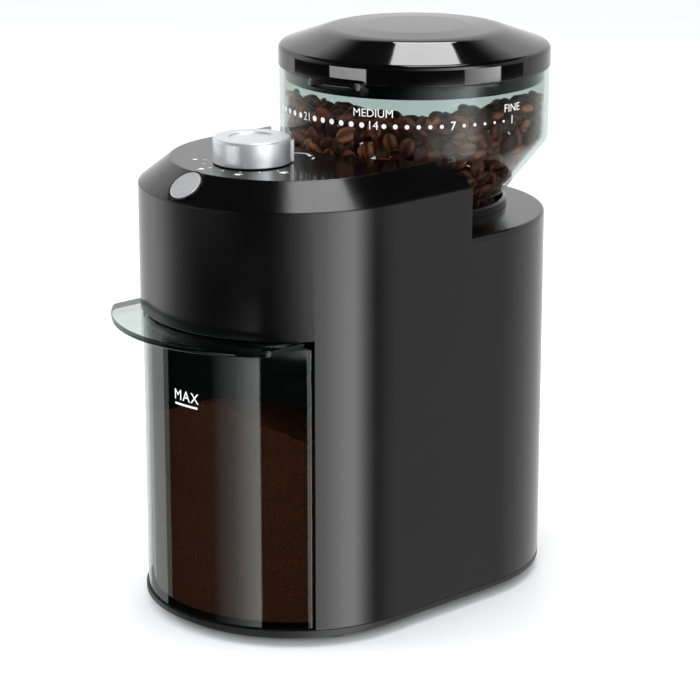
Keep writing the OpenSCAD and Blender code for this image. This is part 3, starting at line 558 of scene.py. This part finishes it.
# %% Turn the hopper
wall = 2 * MM
neck_r = 38.5 * MM
throat_r = 19 * MM
throat_z = deck_z - 8.5 * MM
cone_z = deck_z + 4.9 * MM
CONE_SLOPE = 1.275
shoulder_z = cone_z + (hopper_r - neck_r) * CONE_SLOPE
inner = hopper_r - wall
LIP, BEND = 0.4 * MM, 5 * MM
hopper = turned("hopper_bowl", rounded([
    (throat_r, throat_z, LIP), (neck_r, throat_z, LIP), (neck_r, cone_z, 2 * MM),
    (hopper_r, shoulder_z, BEND), (hopper_r, rim_z, LIP), (inner, rim_z, LIP),
    (inner, shoulder_z + 0.7 * MM, BEND), (neck_r - wall, cone_z + 0.7 * MM, 2 * MM),
    (neck_r - wall, throat_z + 9 * MM, 1 * MM), (throat_r, throat_z + 2 * MM, 0.3 * MM),
]), (0, hopper_y), clear_san)
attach(hopper, "bean_hopper")
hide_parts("hopper")
print("hopper:", len(hopper.data.polygons), "faces")

# %% [markdown]
# ## The hopper's lid
# The lid is gloss black: a low crown, a long slope and a short upright band, with a skirt
# that drops inside the hopper's rim. Its crown is slightly domed, so that the soft box it
# mirrors gets a bent outline, and a small tab stands out at the front for a finger.

# %% Turn the lid and add its tab
lid_r = hopper_r + 0.5 * MM
lid_z = rim_z + 0.2 * MM
lid_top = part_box("hopper_lid")[1].z
skirt_r = inner - 0.3 * MM
skirt_in = skirt_r - 1.6 * MM
crown_r = hopper_r * 0.65
lid = turned("hopper_lid_shell", rounded([
    (0, lid_top, 0), (crown_r * 0.6, lid_top - 0.15 * MM, 60 * MM),
    (crown_r, lid_top - 0.9 * MM, 22 * MM), (lid_r, lid_z + 8.6 * MM, 2.4 * MM),
    (lid_r, lid_z, 0.5 * MM), (skirt_r, lid_z, 0.2 * MM), (skirt_r, lid_z - 6 * MM, 0.4 * MM),
    (skirt_in, lid_z - 6 * MM, 0.4 * MM), (skirt_in, lid_z + 6 * MM, 1 * MM),
    (crown_r - 1 * MM, lid_top - 2.8 * MM, 2 * MM), (0, lid_top - 3.4 * MM, 0),
], steps=8), (0, hopper_y), lid_black, around=192)
TAB_ANGLE = math.radians(-78)
TAB_HALF, TAB_REACH = 14 * MM, 4.6 * MM
TAB_LOW, TAB_HIGH, TAB_EDGE = -2.2 * MM, 1.2 * MM, 0.5 * MM


def round_axis(angle, radius, height):
    """A point at a radius from the hopper's axis."""
    return (math.cos(angle) * radius, hopper_y + math.sin(angle) * radius, height)


def joined_rings(levels, around):
    """Faces between rings of points that lie one above the other."""
    return [(r * around + i, r * around + (i + 1) % around,
             (r + 1) * around + (i + 1) % around, (r + 1) * around + i)
            for r in range(levels - 1) for i in range(around)]


def finger_tab():
    outline = []
    for k in range(25):
        s = -1 + k / 12
        # A flat front with two rounded corners that sweep back into the lid's band
        outline.append((TAB_ANGLE + s * TAB_HALF / lid_r, lid_r + TAB_REACH * (1 - abs(s) ** 9)))
    levels = ((TAB_LOW, TAB_EDGE), (TAB_LOW + TAB_EDGE, 0), (TAB_HIGH - TAB_EDGE, 0),
              (TAB_HIGH, TAB_EDGE))
    points = []
    for z, shrink in levels:
        points += [round_axis(a, max(r - shrink, lid_r - 0.1 * MM), lid_z + z) for a, r in outline]
        points += [round_axis(a, lid_r - 0.2 * MM, lid_z + z) for a, r in reversed(outline)]
    ring = 2 * len(outline)
    faces = joined_rings(len(levels), ring)
    faces += [tuple(range(ring)), tuple(range(3 * ring, 4 * ring))]
    return piece_from("hopper_lid_tab", points, faces, lid_black, 60)


tab = finger_tab()
for piece in (lid, tab):
    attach(piece, "lid")
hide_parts("hopper_lid")
print("lid radius", round(lid_r / MM, 1), "mm; tab", len(tab.data.polygons), "faces")

# %% [markdown]
# ## Roasted beans
# The beans are what the eye goes to. One bean is modelled: a flattened egg with a crease
# along its flat face. A Geometry Nodes tree then scatters it over a skin that follows the
# inside of the hopper and the top of the heap, in two layers, with a smallest distance
# between beans so that they pack, and gives each its own turn and roast.

# %% One bean
def one_bean(length=8.8 * MM, width=6.6 * MM, thick=4.6 * MM, rings=7, around=10):
    points, crease = [], []
    for i in range(rings + 1):
        t = math.pi * i / rings
        for k in range(around):
            a = 2 * math.pi * k / around
            x = -math.cos(t) * length / 2
            y = math.sin(t) * math.cos(a) * width / 2
            z = math.sin(t) * math.sin(a) * thick * (0.62 if math.sin(a) > 0 else 0.4)
            groove = math.sin(a) > 0.9 and 0 < i < rings
            points.append((x, y * (0.5 if groove else 1), z - (0.9 * MM if groove else 0)))
            crease.append(1.0 if groove else 0.0)
    mesh = bpy.data.meshes.new("bean")
    mesh.from_pydata(points, [], joined_rings(rings + 1, around))
    # The crease is marked for the material, which paints shade along it
    mark = mesh.attributes.new("crease", "FLOAT", "POINT")
    mark.data.foreach_set("value", crease)
    mesh.shade_smooth()
    return bpy.data.objects.new("one_bean", mesh)


bean = one_bean()
print("a bean has", len(bean.data.polygons), "faces")


# %% Roast colour
def roast():
    # Oily dark roast, reddish brown to near black bean by bean, painted shade in the crease, a
    # sheen
    material, tree, surface = finish_named("oily_dark_roast", Roughness=0.36, IOR=1.4)
    which = add(tree, "Attribute", attribute_name="roast").outputs["Fac"]
    groove = add(tree, "Attribute", attribute_name="crease").outputs["Fac"]
    ramp = add(tree, "ValToRGB", {"Fac": which})
    set_stops(ramp, [(0.0, linear("#3E1E14")), (0.35, linear("#683527")),
                     (0.75, linear("#8C4E38")), (1.0, linear("#B57250"))])
    mottle = object_noise(tree, 2.2, 4.0, 0.65)
    dark = add(tree, "Mix", {"Factor": spread_between(tree, mottle, 0, 0.7), 6: ramp.outputs[0],
                             7: linear("#1A0B06")}, data_type="RGBA")
    # Painted shade: the crease is darkened towards near black
    line = add(tree, "Mix", {"Factor": spread_between(tree, groove, 0, 0.8, 0.2, 1.0),
                             6: dark.outputs[2], 7: linear("#120704")}, data_type="RGBA")
    tree.links.new(line.outputs[2], surface.inputs["Base Color"])
    tree.links.new(spread_between(tree, mottle, 0.28, 0.5), surface.inputs["Roughness"])
    bump = add(tree, "Bump", {"Height": mottle, "Strength": 0.5, "Distance": 0.0004})
    tree.links.new(bump.outputs["Normal"], surface.inputs["Normal"])
    return material


roasted = roast()
print("made", roasted.name)

# %% [markdown]
# The heap is higher towards the front and falls inwards and to the back, where beans have
# already run down to the burrs. Its skin is a closed lathe: up the inside of the hopper to
# the heap's edge, then over the top to the middle.

# %% The heap's skin
HEAP_FRONT = YAW - math.pi / 2
HEAP_BELOW_RIM, HEAP_FALL = 13.5 * MM, 25 * MM
HEAP_LEVEL, HEAP_TURN = math.radians(95), math.radians(70)
TOP_SLOPE = 0.42
WALL_ROWS, TOP_ROWS, AROUND = 13, 7, 72


def heap_edge(angle):
    """Height of the beans at the hopper's wall, by direction."""
    away = abs(math.atan2(math.sin(angle - HEAP_FRONT), math.cos(angle - HEAP_FRONT)))
    t = min(1, max(0, (away - HEAP_LEVEL) / HEAP_TURN))
    return rim_z - HEAP_BELOW_RIM - HEAP_FALL * t * t * (3 - 2 * t)


def heap_skin(gap):
    points = []
    low = throat_z + 6 * MM
    for i in range(AROUND):
        a = 2 * math.pi * i / AROUND
        edge = heap_edge(a) - gap * 0.6
        for k in range(WALL_ROWS):
            z = low + (edge - low) * k / (WALL_ROWS - 1)
            throat = neck_r - wall
            rim = (throat if z < cone_z else min(inner, throat + (z - cone_z) / CONE_SLOPE)) - gap
            points.append(round_axis(a, rim, z))
        # The top falls towards the middle, less where the heap is already low
        share = 1 if edge > rim_z - 18 * MM else 0.35
        for k in range(1, TOP_ROWS + 1):
            r = rim * (1 - k / TOP_ROWS)
            z = edge - TOP_SLOPE * (rim - r) * share
            points.append(round_axis(a, max(r, 0.5 * MM), max(z, cone_z)))
    rows = WALL_ROWS + TOP_ROWS
    faces = [(i * rows + k, (i + 1) % AROUND * rows + k,
              (i + 1) % AROUND * rows + k + 1, i * rows + k + 1)
             for i in range(AROUND) for k in range(rows - 1)]
    return piece_from("heap_skin", points, faces, roasted)


skins = [heap_skin(3.4 * MM), heap_skin(8.5 * MM)]
print("heap skins:", [len(s.data.polygons) for s in skins])


# %% The tree that scatters beans
def tree_with(name, inputs):
    """A Geometry Nodes tree that takes a shape and named inputs and gives a shape."""
    tree = bpy.data.node_groups.new(name, "GeometryNodeTree")
    shape = "NodeSocketGeometry"
    tree.interface.new_socket("Start", in_out="INPUT", socket_type=shape)
    for title, kind in inputs:
        tree.interface.new_socket(title, in_out="INPUT", socket_type="NodeSocket" + kind)
    tree.interface.new_socket("Made", in_out="OUTPUT", socket_type=shape)
    return tree


def end_tree(tree, instances, finish):
    """Makes the instances real, gives them their material and hands them out."""
    real = add(tree, "GeometryNodeRealizeInstances", {"Geometry": instances})
    done = add(tree, "GeometryNodeSetMaterial", {"Geometry": real.outputs[0], "Material": finish})
    add(tree, "NodeGroupOutput", {"Made": done.outputs[0]})


def scatter_tree():
    tree = tree_with("scatter_beans", (("Bean", "Object"), ("Spacing", "Float"),
                                       ("Density", "Float"), ("Lean", "Float"), ("Seed", "Int"),
                                       ("Finish", "Material")))
    given = add(tree, "NodeGroupInput").outputs
    points = add(tree, "GeometryNodeDistributePointsOnFaces", {
        "Mesh": given["Start"], "Distance Min": given["Spacing"], "Density Max": given["Density"],
        "Seed": given["Seed"]}, distribute_method="POISSON")
    shape = add(tree, "GeometryNodeObjectInfo", {"Object": given["Bean"]})
    spun = add(tree, "FunctionNodeRandomValue", {"Max": (0.0, 0.0, 6.283), "Seed": given["Seed"]},
               data_type="FLOAT_VECTOR")
    back = add(tree, "Math", {0: given["Lean"], 1: -1.0}, operation="MULTIPLY").outputs[0]
    low = add(tree, "CombineXYZ", {"X": back, "Y": back})
    high = add(tree, "CombineXYZ", {"X": given["Lean"], "Y": given["Lean"]})
    leant = add(tree, "FunctionNodeRandomValue", {"Min": low.outputs[0], "Max": high.outputs[0],
                                                  "Seed": 3}, data_type="FLOAT_VECTOR")
    scale = add(tree, "FunctionNodeRandomValue", {2: 0.88, 3: 1.1, "Seed": 11}, data_type="FLOAT")
    placed = add(tree, "GeometryNodeInstanceOnPoints", {
        "Points": points.outputs["Points"], "Instance": shape.outputs["Geometry"],
        "Rotation": points.outputs["Rotation"], "Scale": scale.outputs[1]})
    tipped = add(tree, "GeometryNodeRotateInstances", {"Instances": placed.outputs[0],
                                                       "Rotation": leant.outputs[0]})
    spin = add(tree, "GeometryNodeRotateInstances", {"Instances": tipped.outputs[0],
                                                     "Rotation": spun.outputs[0]})
    shade = add(tree, "FunctionNodeRandomValue", {2: 0.0, 3: 1.0, "Seed": 5}, data_type="FLOAT")
    kept = add(tree, "GeometryNodeStoreNamedAttribute", {
        "Geometry": spin.outputs[0], "Name": "roast", "Value": shade.outputs[1]},
        data_type="FLOAT", domain="INSTANCE")
    end_tree(tree, kept.outputs[0], given["Finish"])
    return tree


bean_tree = scatter_tree()
print("the tree has", len(bean_tree.nodes), "nodes")


# %% Scatter both layers and make them plain meshes
def grown(obj, tree, name, **inputs):
    """Runs a tree on an object with its inputs set, and returns the result as a plain mesh."""
    step = obj.modifiers.new("grow", "NODES")
    step.node_group = tree
    names = {item.name: item.identifier for item in tree.interface.items_tree
             if item.item_type == "SOCKET" and item.in_out == "INPUT"}
    for socket, value in inputs.items():
        step[names[socket]] = value
    mesh = plain_mesh(obj)
    bpy.data.objects.remove(obj)
    mesh.name = name
    made = bpy.data.objects.new(name, mesh)
    bpy.context.scene.collection.objects.link(made)
    return made


outer = grown(skins[0], bean_tree, "beans_at_the_wall", Bean=bean, Spacing=5.6 * MM,
              Density=60000.0, Lean=0.55, Seed=7, Finish=roasted)
deeper = grown(skins[1], bean_tree, "beans_behind", Bean=bean, Spacing=6.2 * MM,
               Density=50000.0, Lean=1.2, Seed=19, Finish=roasted)
for layer in (outer, deeper):
    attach(layer, "bean_hopper")
print("beans:", (len(outer.data.polygons) + len(deeper.data.polygons)) // len(bean.data.polygons))

# %% [markdown]
# ## Edges of the moulded shells
# The housing, the control panel and the deck have the right shape in the frame, but their
# edges are knife sharp. A copy of each is cleaned of its doubled points and its flat faces
# are joined, then every corner gets a small radius, and the faces are weighted so that the
# flats stay flat in the reflections.

# %% Round the shells' edges
EDGE_ANGLE = math.radians(30)
SAME_PLANE = math.radians(0.6)


def softened(node, name, width, material, body):
    mesh = nodes[node].data.copy()
    form = bmesh.new()
    form.from_mesh(mesh)
    bmesh.ops.remove_doubles(form, verts=form.verts, dist=0.02 * MM)
    bmesh.ops.dissolve_limit(form, angle_limit=SAME_PLANE, verts=form.verts, edges=form.edges)
    bmesh.ops.recalc_face_normals(form, faces=form.faces)
    form.to_mesh(mesh)
    form.free()
    for corner in ("custom_normal", "sharp_face"):
        if corner in mesh.attributes:
            mesh.attributes.remove(mesh.attributes[corner])
    mesh.shade_smooth()
    obj = bpy.data.objects.new(name, mesh)
    bpy.context.scene.collection.objects.link(obj)
    edge = obj.modifiers.new("edge", "BEVEL")
    edge.limit_method, edge.angle_limit = "ANGLE", EDGE_ANGLE
    edge.width, edge.segments, edge.use_clamp_overlap = width, 3, False
    edge.miter_outer = "MITER_ARC"
    flat = obj.modifiers.new("flat", "WEIGHTED_NORMAL")
    flat.weight, flat.keep_sharp = FLATNESS, False
    obj.data = plain_mesh(obj)
    obj.data.materials.clear()
    obj.data.materials.append(material)
    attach(obj, body)
    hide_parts(node)
    return obj


shells = [
    softened("main_housing", "housing_shell", 0.35 * MM, black_abs, "grinder_body"),
    softened("control_panel", "panel_shell", 0.45 * MM, black_abs, "grinder_body"),
    softened("rear_deck", "deck_plate", 0.2 * MM, black_abs, "grinder_body"),
    softened("hopper_collar", "collar_ring", 0.3 * MM, black_abs, "grinder_body"),
    softened("base_plate", "base_tray", 0.3 * MM, grained_abs, "grinder_body"),
    softened("button_bezel", "button_ring", 0.15 * MM, black_abs, "grinder_body"),
    softened("cord_gland", "cord_sleeve", 0.3 * MM, rubber, "grinder_body"),
    softened("feet", "rubber_feet", 0.7 * MM, rubber, "grinder_body"),
]
print("softened shells:", [len(s.data.polygons) for s in shells])

# %% [markdown]
# ## The knob and the start button
# Both are small silver pieces that a finger goes to. The knob has a shallow dish and a raised
# pointer; the button sits in a black ring on the sloping border. Their edges get a small
# radius, which shows as a bright rim on a satin metal.

# %% Round the knob and the button
knob = softened("selector_knob", "cup_knob", 0.35 * MM, silver, "cup_selector")
button = softened("start_button", "start_key_cap", 0.35 * MM, silver, "start_key")
print("knob", len(knob.data.polygons), "faces, button", len(button.data.polygons), "faces")

# %% [markdown]
# ## The container and its smoked lip
# The container is an open box with one bowed wall, and its lid reaches out in front as a lip
# that a thumb pulls. The frame has both shapes, so only their edges are rounded. Smoked
# plastic is dark from the side because the light crosses more of it, which the rim's own
# colour gives.

# %% Round the container and its lid
box_shell = softened("container", "container_box", 0.5 * MM, container_san, "grounds_container")
lip_shell = softened("container_lid", "container_lip", 0.8 * MM, lip_san, "grounds_container")
print("container", len(box_shell.data.polygons), "faces, lip", len(lip_shell.data.polygons))

# %% [markdown]
# ## Ground coffee in the container
# Ground coffee heaps under its own weight: it lies flat against the clear walls and makes a
# low, uneven mound on top. It is drawn as rings that shrink from the container's outline to
# its middle, raised by a smooth mound and by noise at two sizes.

# %% Colour of the grounds
def grounds():
    # Fine dark-brown crumb with a few lighter grains, fully matt
    material, tree, surface = finish_named("fine_coffee_grounds", Roughness=0.9, IOR=1.12)
    fine = object_noise(tree, 0.9, 4.0, 0.75)
    broad = object_noise(tree, 14, 2.0)
    crumb = add(tree, "ValToRGB", {"Fac": fine})
    set_stops(crumb, [(0.25, linear("#190B05")), (0.5, linear("#30170B")),
                      (0.66, linear("#4C2613")), (0.8, linear("#6E3D20"))])
    tone = add(tree, "Mix", {"Factor": spread_between(tree, broad, 0, 0.35), 6: crumb.outputs[0],
                             7: linear("#24120A")}, data_type="RGBA")
    tree.links.new(tone.outputs[2], surface.inputs["Base Color"])
    bump = add(tree, "Bump", {"Height": fine, "Strength": 0.6, "Distance": 0.0003})
    tree.links.new(bump.outputs["Normal"], surface.inputs["Normal"])
    return material


ground_coffee = grounds()
print("made", ground_coffee.name)


# %% Fill the container
box_low, box_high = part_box("container")
BOX_WALL = 2.2 * MM
FILL_SIDE, FILL_FLOOR = 0.3 * MM, 0.1 * MM
FILL_CORNER = 1.5 * MM
PEAK = 106
PEAK_X, PEAK_Y = 15, 6
SLOPE = 0.42


def container_outline(inset, count=48):
    """The container's inner outline: a bowed front between two flat sides, rounded corners."""
    half, back = box_high.x - inset, box_high.y - inset
    bow = -box_low.y - arc_y - inset
    swing = math.acos(half / bow)
    front = [(bow * math.cos(a), -arc_y + bow * math.sin(a)) for a in
             (-math.pi + swing + (math.pi - 2 * swing) * k / count for k in range(count + 1))]
    corners = [(x, y, FILL_CORNER if k in (0, count) else 0) for k, (x, y) in enumerate(front)]
    return rounded(corners + [(half, back, FILL_CORNER), (-half, back, FILL_CORNER)])


def fill_of_grounds():
    outline = container_outline(BOX_WALL + FILL_SIDE)
    # Short steps along the straight sides, so that the mound can bend there too
    fine = []
    for i, (x, y) in enumerate(outline):
        nx, ny = outline[(i + 1) % len(outline)]
        pieces = max(1, int(math.hypot(nx - x, ny - y) / (1.2 * MM)))
        fine += [(x + (nx - x) * k / pieces, y + (ny - y) * k / pieces) for k in range(pieces)]
    low = box_low.z + BOX_WALL + FILL_FLOOR
    middle_y = (box_low.y + box_high.y) / 2

    def height(x, y):
        # A blunt cone round the peak, with lumps of 9 mm and crumbs of 2.2 mm
        slope = SLOPE * math.hypot(x / MM - PEAK_X, 0.8 * ((y - box_low.y) / MM - PEAK_Y), 5)
        lumps = noise.noise(Vector((x, y, 0)) / (9 * MM)) * 1.4
        crumbs = noise.noise(Vector((x, y, 3)) / (2.2 * MM)) * 0.7
        return (PEAK - slope + (lumps + crumbs)) * MM

    rows = [[(x, y, low + (height(x, y) - low) * level / 5) for x, y in fine]
            for level in range(6)]
    rings = 36
    for ring in range(1, rings + 1):
        k = 1 - ring / (rings + 0.5)
        row = [(x * k, middle_y + (y - middle_y) * k) for x, y in fine]
        rows.append([(x, y, height(x, y)) for x, y in row])
    around = len(fine)
    faces = joined_rings(len(rows), around)
    faces += [tuple(range(around)), tuple(range((len(rows) - 1) * around, len(rows) * around))]
    return piece_from("ground_coffee", sum(rows, []), faces, ground_coffee, 60)


coffee = fill_of_grounds()
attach(coffee, "grounds_container")
print("ground coffee:", len(coffee.data.polygons), "faces")

# %% [markdown]
# ## Printed marks
# The grind scale on the hopper, the fill mark on the container, the signs round the knob and
# the power mark on the button are thin prints. Dots follow a rule, so a Geometry Nodes tree
# sets them out on an arc. Figures are text made into mesh and bent round the wall, a few
# hundredths of a millimetre proud of it.

# %% The tree that sets out dots on an arc
def dot_tree():
    tree = tree_with("dots_on_an_arc", (("Count", "Int"), ("Radius", "Float"),
                                        ("First Angle", "Float"), ("Step", "Float"),
                                        ("First Dot", "Float"), ("Last Dot", "Float"),
                                        ("Ink", "Material")))

    given = add(tree, "NodeGroupInput").outputs
    number = add(tree, "GeometryNodeInputIndex").outputs[0]
    angle = add(tree, "Math", {0: number, 1: given["Step"], 2: given["First Angle"]},
                operation="MULTIPLY_ADD").outputs[0]
    ahead = add(tree, "CombineXYZ", {"X": given["Radius"]})
    spot = add(tree, "VectorRotate", {"Vector": ahead.outputs[0], "Angle": angle},
               rotation_type="Z_AXIS")
    line = add(tree, "GeometryNodeMeshLine", {"Count": given["Count"]})
    placed = add(tree, "GeometryNodeSetPosition", {"Geometry": line.outputs[0],
                                                   "Position": spot.outputs[0]})
    disc = add(tree, "GeometryNodeMeshCircle", {"Vertices": 20, "Radius": 1.0}, fill_type="NGON")
    turn = add(tree, "CombineXYZ", {"Y": math.pi / 2, "Z": angle})
    last = add(tree, "Math", {0: given["Count"], 1: 1.0}, operation="SUBTRACT")
    size = add(tree, "MapRange", {"Value": number, "From Max": last.outputs[0],
                                  "To Min": given["First Dot"], "To Max": given["Last Dot"]})
    dots = add(tree, "GeometryNodeInstanceOnPoints", {
        "Points": placed.outputs[0], "Instance": disc.outputs[0], "Rotation": turn.outputs[0],
        "Scale": size.outputs[0]})
    end_tree(tree, dots.outputs[0], given["Ink"])
    return tree


dots_tree = dot_tree()
print("the dot tree has", len(dots_tree.nodes), "nodes")

# %% Dots of the grind scale
STEP = math.radians(4.75)
ONE_AT = math.radians(0.25)
PROUD = 0.03 * MM
SMALL_DOT, DOT_GROWTH, FULL_AFTER = 0.5, 0.75, 16
scale_z = deck_z + 45.6 * MM


def empty_mesh(name):
    obj = bpy.data.objects.new(name, bpy.data.meshes.new(name))
    bpy.context.scene.collection.objects.link(obj)
    return obj


def dot_size(number):
    return (SMALL_DOT + DOT_GROWTH * min(1, (number - 1) / FULL_AFTER)) * MM


for first, last in ((2, 6), (8, 13), (15, 20), (22, 27)):
    dots = grown(empty_mesh("start"), dots_tree, f"scale_dots_{first}", Count=last - first + 1,
                 Radius=hopper_r + PROUD, Step=-STEP, Ink=ink,
                 **{"First Angle": ONE_AT - STEP * (first - 1), "First Dot": dot_size(first),
                    "Last Dot": dot_size(last)})
    dots.data.transform(Matrix.Translation((0, hopper_y, scale_z)))
    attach(dots, "bean_hopper")
print("dots stand at", round(scale_z / MM, 1), "mm")


# %% Figures bent round a wall
FIGURE, WORD = 5.2 * MM, 4.8 * MM
WORD_ABOVE = 5.2 * MM


def lettering(body, size, spacing=1.0):
    """Text as a flat mesh centred on its own origin, in the XY plane."""
    curve = bpy.data.curves.new("figures", "FONT")
    curve.body, curve.size, curve.space_character = body, size, spacing
    curve.align_x, curve.align_y = "CENTER", "CENTER"
    curve.resolution_u = 4
    obj = bpy.data.objects.new("figures", curve)
    bpy.context.scene.collection.objects.link(obj)
    mesh = plain_mesh(obj)
    bpy.data.objects.remove(obj)
    return mesh


def printed(name, mesh, place, body, colour=ink):
    """Moves each point of a flat print with place(x, y) and makes it a piece on a body."""
    for point in mesh.vertices:
        point.co = place(point.co.x, point.co.y)
    mesh.materials.clear()
    mesh.materials.append(colour)
    obj = bpy.data.objects.new(name, mesh)
    bpy.context.scene.collection.objects.link(obj)
    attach(obj, body)
    return obj


def round_wall(centre_y, radius, angle, height):
    """A place function for prints that stand upright on a round wall."""
    def place(x, y):
        a, r = angle + x / radius, radius + PROUD
        return (r * math.cos(a), centre_y + r * math.sin(a), height + y)
    return place


for number in (1, 7, 14, 21, 28):
    place = round_wall(hopper_y, hopper_r, ONE_AT - STEP * (number - 1), scale_z)
    printed(f"scale_figure_{number}", lettering(str(number), FIGURE), place, "bean_hopper")
for word, number in (("FINE", 1), ("MEDIUM", 14)):
    place = round_wall(hopper_y, hopper_r, ONE_AT - STEP * (number - 1), scale_z + WORD_ABOVE)
    printed(f"scale_word_{number}", lettering(word, WORD), place, "bean_hopper")

front_r = -box_low.y - arc_y
FILL_ANGLE = math.radians(-86)
FILL_WORD_Z, FILL_LINE_Z = 104.6 * MM, 100.4 * MM
FILL_HALF, FILL_LINE = 6.6 * MM, 0.9 * MM
printed("fill_word", lettering("MAX", 6.4 * MM, 1.12),
        round_wall(-arc_y, front_r, FILL_ANGLE, FILL_WORD_Z), "grounds_container")


def strip(x0, x1, y0, y1, steps=12):
    """A flat bar as a mesh in the XY plane, cut into steps so that it can bend."""
    mesh = bpy.data.meshes.new("bar")
    points = [(x0 + (x1 - x0) * k / steps, y, 0) for k in range(steps + 1) for y in (y0, y1)]
    faces = [(2 * k, 2 * k + 2, 2 * k + 3, 2 * k + 1) for k in range(steps)]
    mesh.from_pydata(points, [], faces)
    return mesh


printed("fill_line", strip(-FILL_HALF, FILL_HALF, 0, FILL_LINE),
        round_wall(-arc_y, front_r, FILL_ANGLE, FILL_LINE_Z), "grounds_container")
print("printed the scale and the fill mark")

# %% Signs round the knob and the arrow towards the hopper
knob_y = (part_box("knob_shaft")[0].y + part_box("knob_shaft")[1].y) / 2
print_z = panel_z + PROUD


def on_panel(cx, cy, turn=0.0):
    """A place function for prints that lie on the panel, turned about their middle."""
    def place(x, y):
        return (cx + x * math.cos(turn) - y * math.sin(turn),
                cy + x * math.sin(turn) + y * math.cos(turn), print_z)
    return place


def ring_slice(form, x, y, inner_r, outer_r, start, end):
    """Adds one face of a flat ring between two angles."""
    corners = ((inner_r, start), (outer_r, start), (outer_r, end), (inner_r, end))
    form.faces.new([form.verts.new((x + r * math.cos(t), y + r * math.sin(t), 0))
                    for r, t in corners])


def cup_sign(size):
    """A small cup seen from the side: a bowl with a handle and a saucer line."""
    mesh = bpy.data.meshes.new("cup")
    form = bmesh.new()
    half = size / 2
    bowl = [(-half, 0.35 * size), (-0.36 * size, -0.2 * size), (-0.15 * size, -0.36 * size),
            (0.15 * size, -0.36 * size), (0.36 * size, -0.2 * size), (half, 0.35 * size)]
    form.faces.new([form.verts.new((x, y, 0)) for x, y in bowl])
    for k in range(8):
        a, b = (math.radians(70 - 140 * t / 8) for t in (k, k + 1))
        ring_slice(form, half * 0.9, 0.08 * size, 0.16 * size, 0.26 * size, a, b)
    form.faces.new([form.verts.new((x * size, y * size, 0)) for x, y in
                    ((-0.5, -0.56), (0.5, -0.56), (0.5, -0.46), (-0.5, -0.46))])
    form.to_mesh(mesh)
    return mesh


DIAL_START, DIAL_STEP = math.radians(215), math.radians(22.5)
TICK_R, CUP_R = 20.4 * MM, 24.6 * MM
TICK_HALF, TICK_THIN = 0.9 * MM, 0.25 * MM
for number in range(7):
    a = DIAL_START + DIAL_STEP * number
    printed(f"dial_tick_{number}", strip(-TICK_HALF, TICK_HALF, -TICK_THIN, TICK_THIN, 2),
            on_panel(TICK_R * math.cos(a), knob_y + TICK_R * math.sin(a), a), "grinder_body")
    # Every second tick has a cup, and the cups grow with the number of portions
    if number % 2 == 0:
        place = on_panel(CUP_R * math.cos(a), knob_y + CUP_R * math.sin(a), a + math.pi / 2)
        printed(f"dial_cup_{number}", cup_sign((2.2 + 0.2 * number) * MM), place, "grinder_body")


def arrow_sign(size):
    """A curved arrow that says which way to turn the hopper."""
    mesh = bpy.data.meshes.new("arrow")
    form = bmesh.new()
    for k in range(10):
        a, b = (math.radians(150 - 110 * t / 10) for t in (k, k + 1))
        ring_slice(form, 0, 0, 0.82 * size, size, a, b)
    head, tip = math.radians(42), math.radians(22)
    form.faces.new([form.verts.new((r * size * math.cos(t), r * size * math.sin(t), 0))
                    for r, t in ((0.68, head), (1.14, head), (0.93, tip))])
    form.to_mesh(mesh)
    return mesh


ARROW_SPOT = on_panel(3.5 * MM, -31 * MM, math.radians(10))
MARK_SPOT = on_panel(12 * MM, -29.5 * MM, 0.6)
MARK_WIDE, MARK_LONG = 0.45 * MM, 1.6 * MM
printed("turn_arrow", arrow_sign(6 * MM), ARROW_SPOT, "grinder_body")
printed("turn_mark", strip(-MARK_WIDE, MARK_WIDE, -MARK_LONG, MARK_LONG, 2), MARK_SPOT,
        "grinder_body")
print("printed the dial round the knob")

# %% Power mark on the button
BORDER_RUN, BORDER_RISE = 13.4, 10.4
tilt = math.atan2(BORDER_RISE, BORDER_RUN)
bezel_low, bezel_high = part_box("button_bezel")
press = Vector((0, math.sin(tilt), -math.cos(tilt)))
up_slope = Vector((0, math.cos(tilt), math.sin(tilt)))
cap_far = max(point.co.dot(-press) for point in nodes["start_button"].data.vertices)
cap_mid = up_slope * ((bezel_low + bezel_high) / 2).dot(up_slope)


def on_cap(x, y):
    return Vector((x, 0, 0)) + up_slope * y + cap_mid - press * (cap_far + PROUD)


def power_sign(size, line):
    mesh = bpy.data.meshes.new("power")
    form = bmesh.new()
    for k in range(28):
        a, b = (math.radians(128 + 284 * t / 28) for t in (k, k + 1))
        ring_slice(form, 0, 0, size - line, size, a, b)
    half, low, high = line / 2, size * 0.25, size * 1.25
    form.faces.new([form.verts.new((x, y, 0)) for x, y in
                    ((-half, low), (half, low), (half, high), (-half, high))])
    form.to_mesh(mesh)
    return mesh


printed("power_mark", power_sign(2.6 * MM, 0.5 * MM), on_cap, "start_key", grey_ink)
print("power mark on the button")
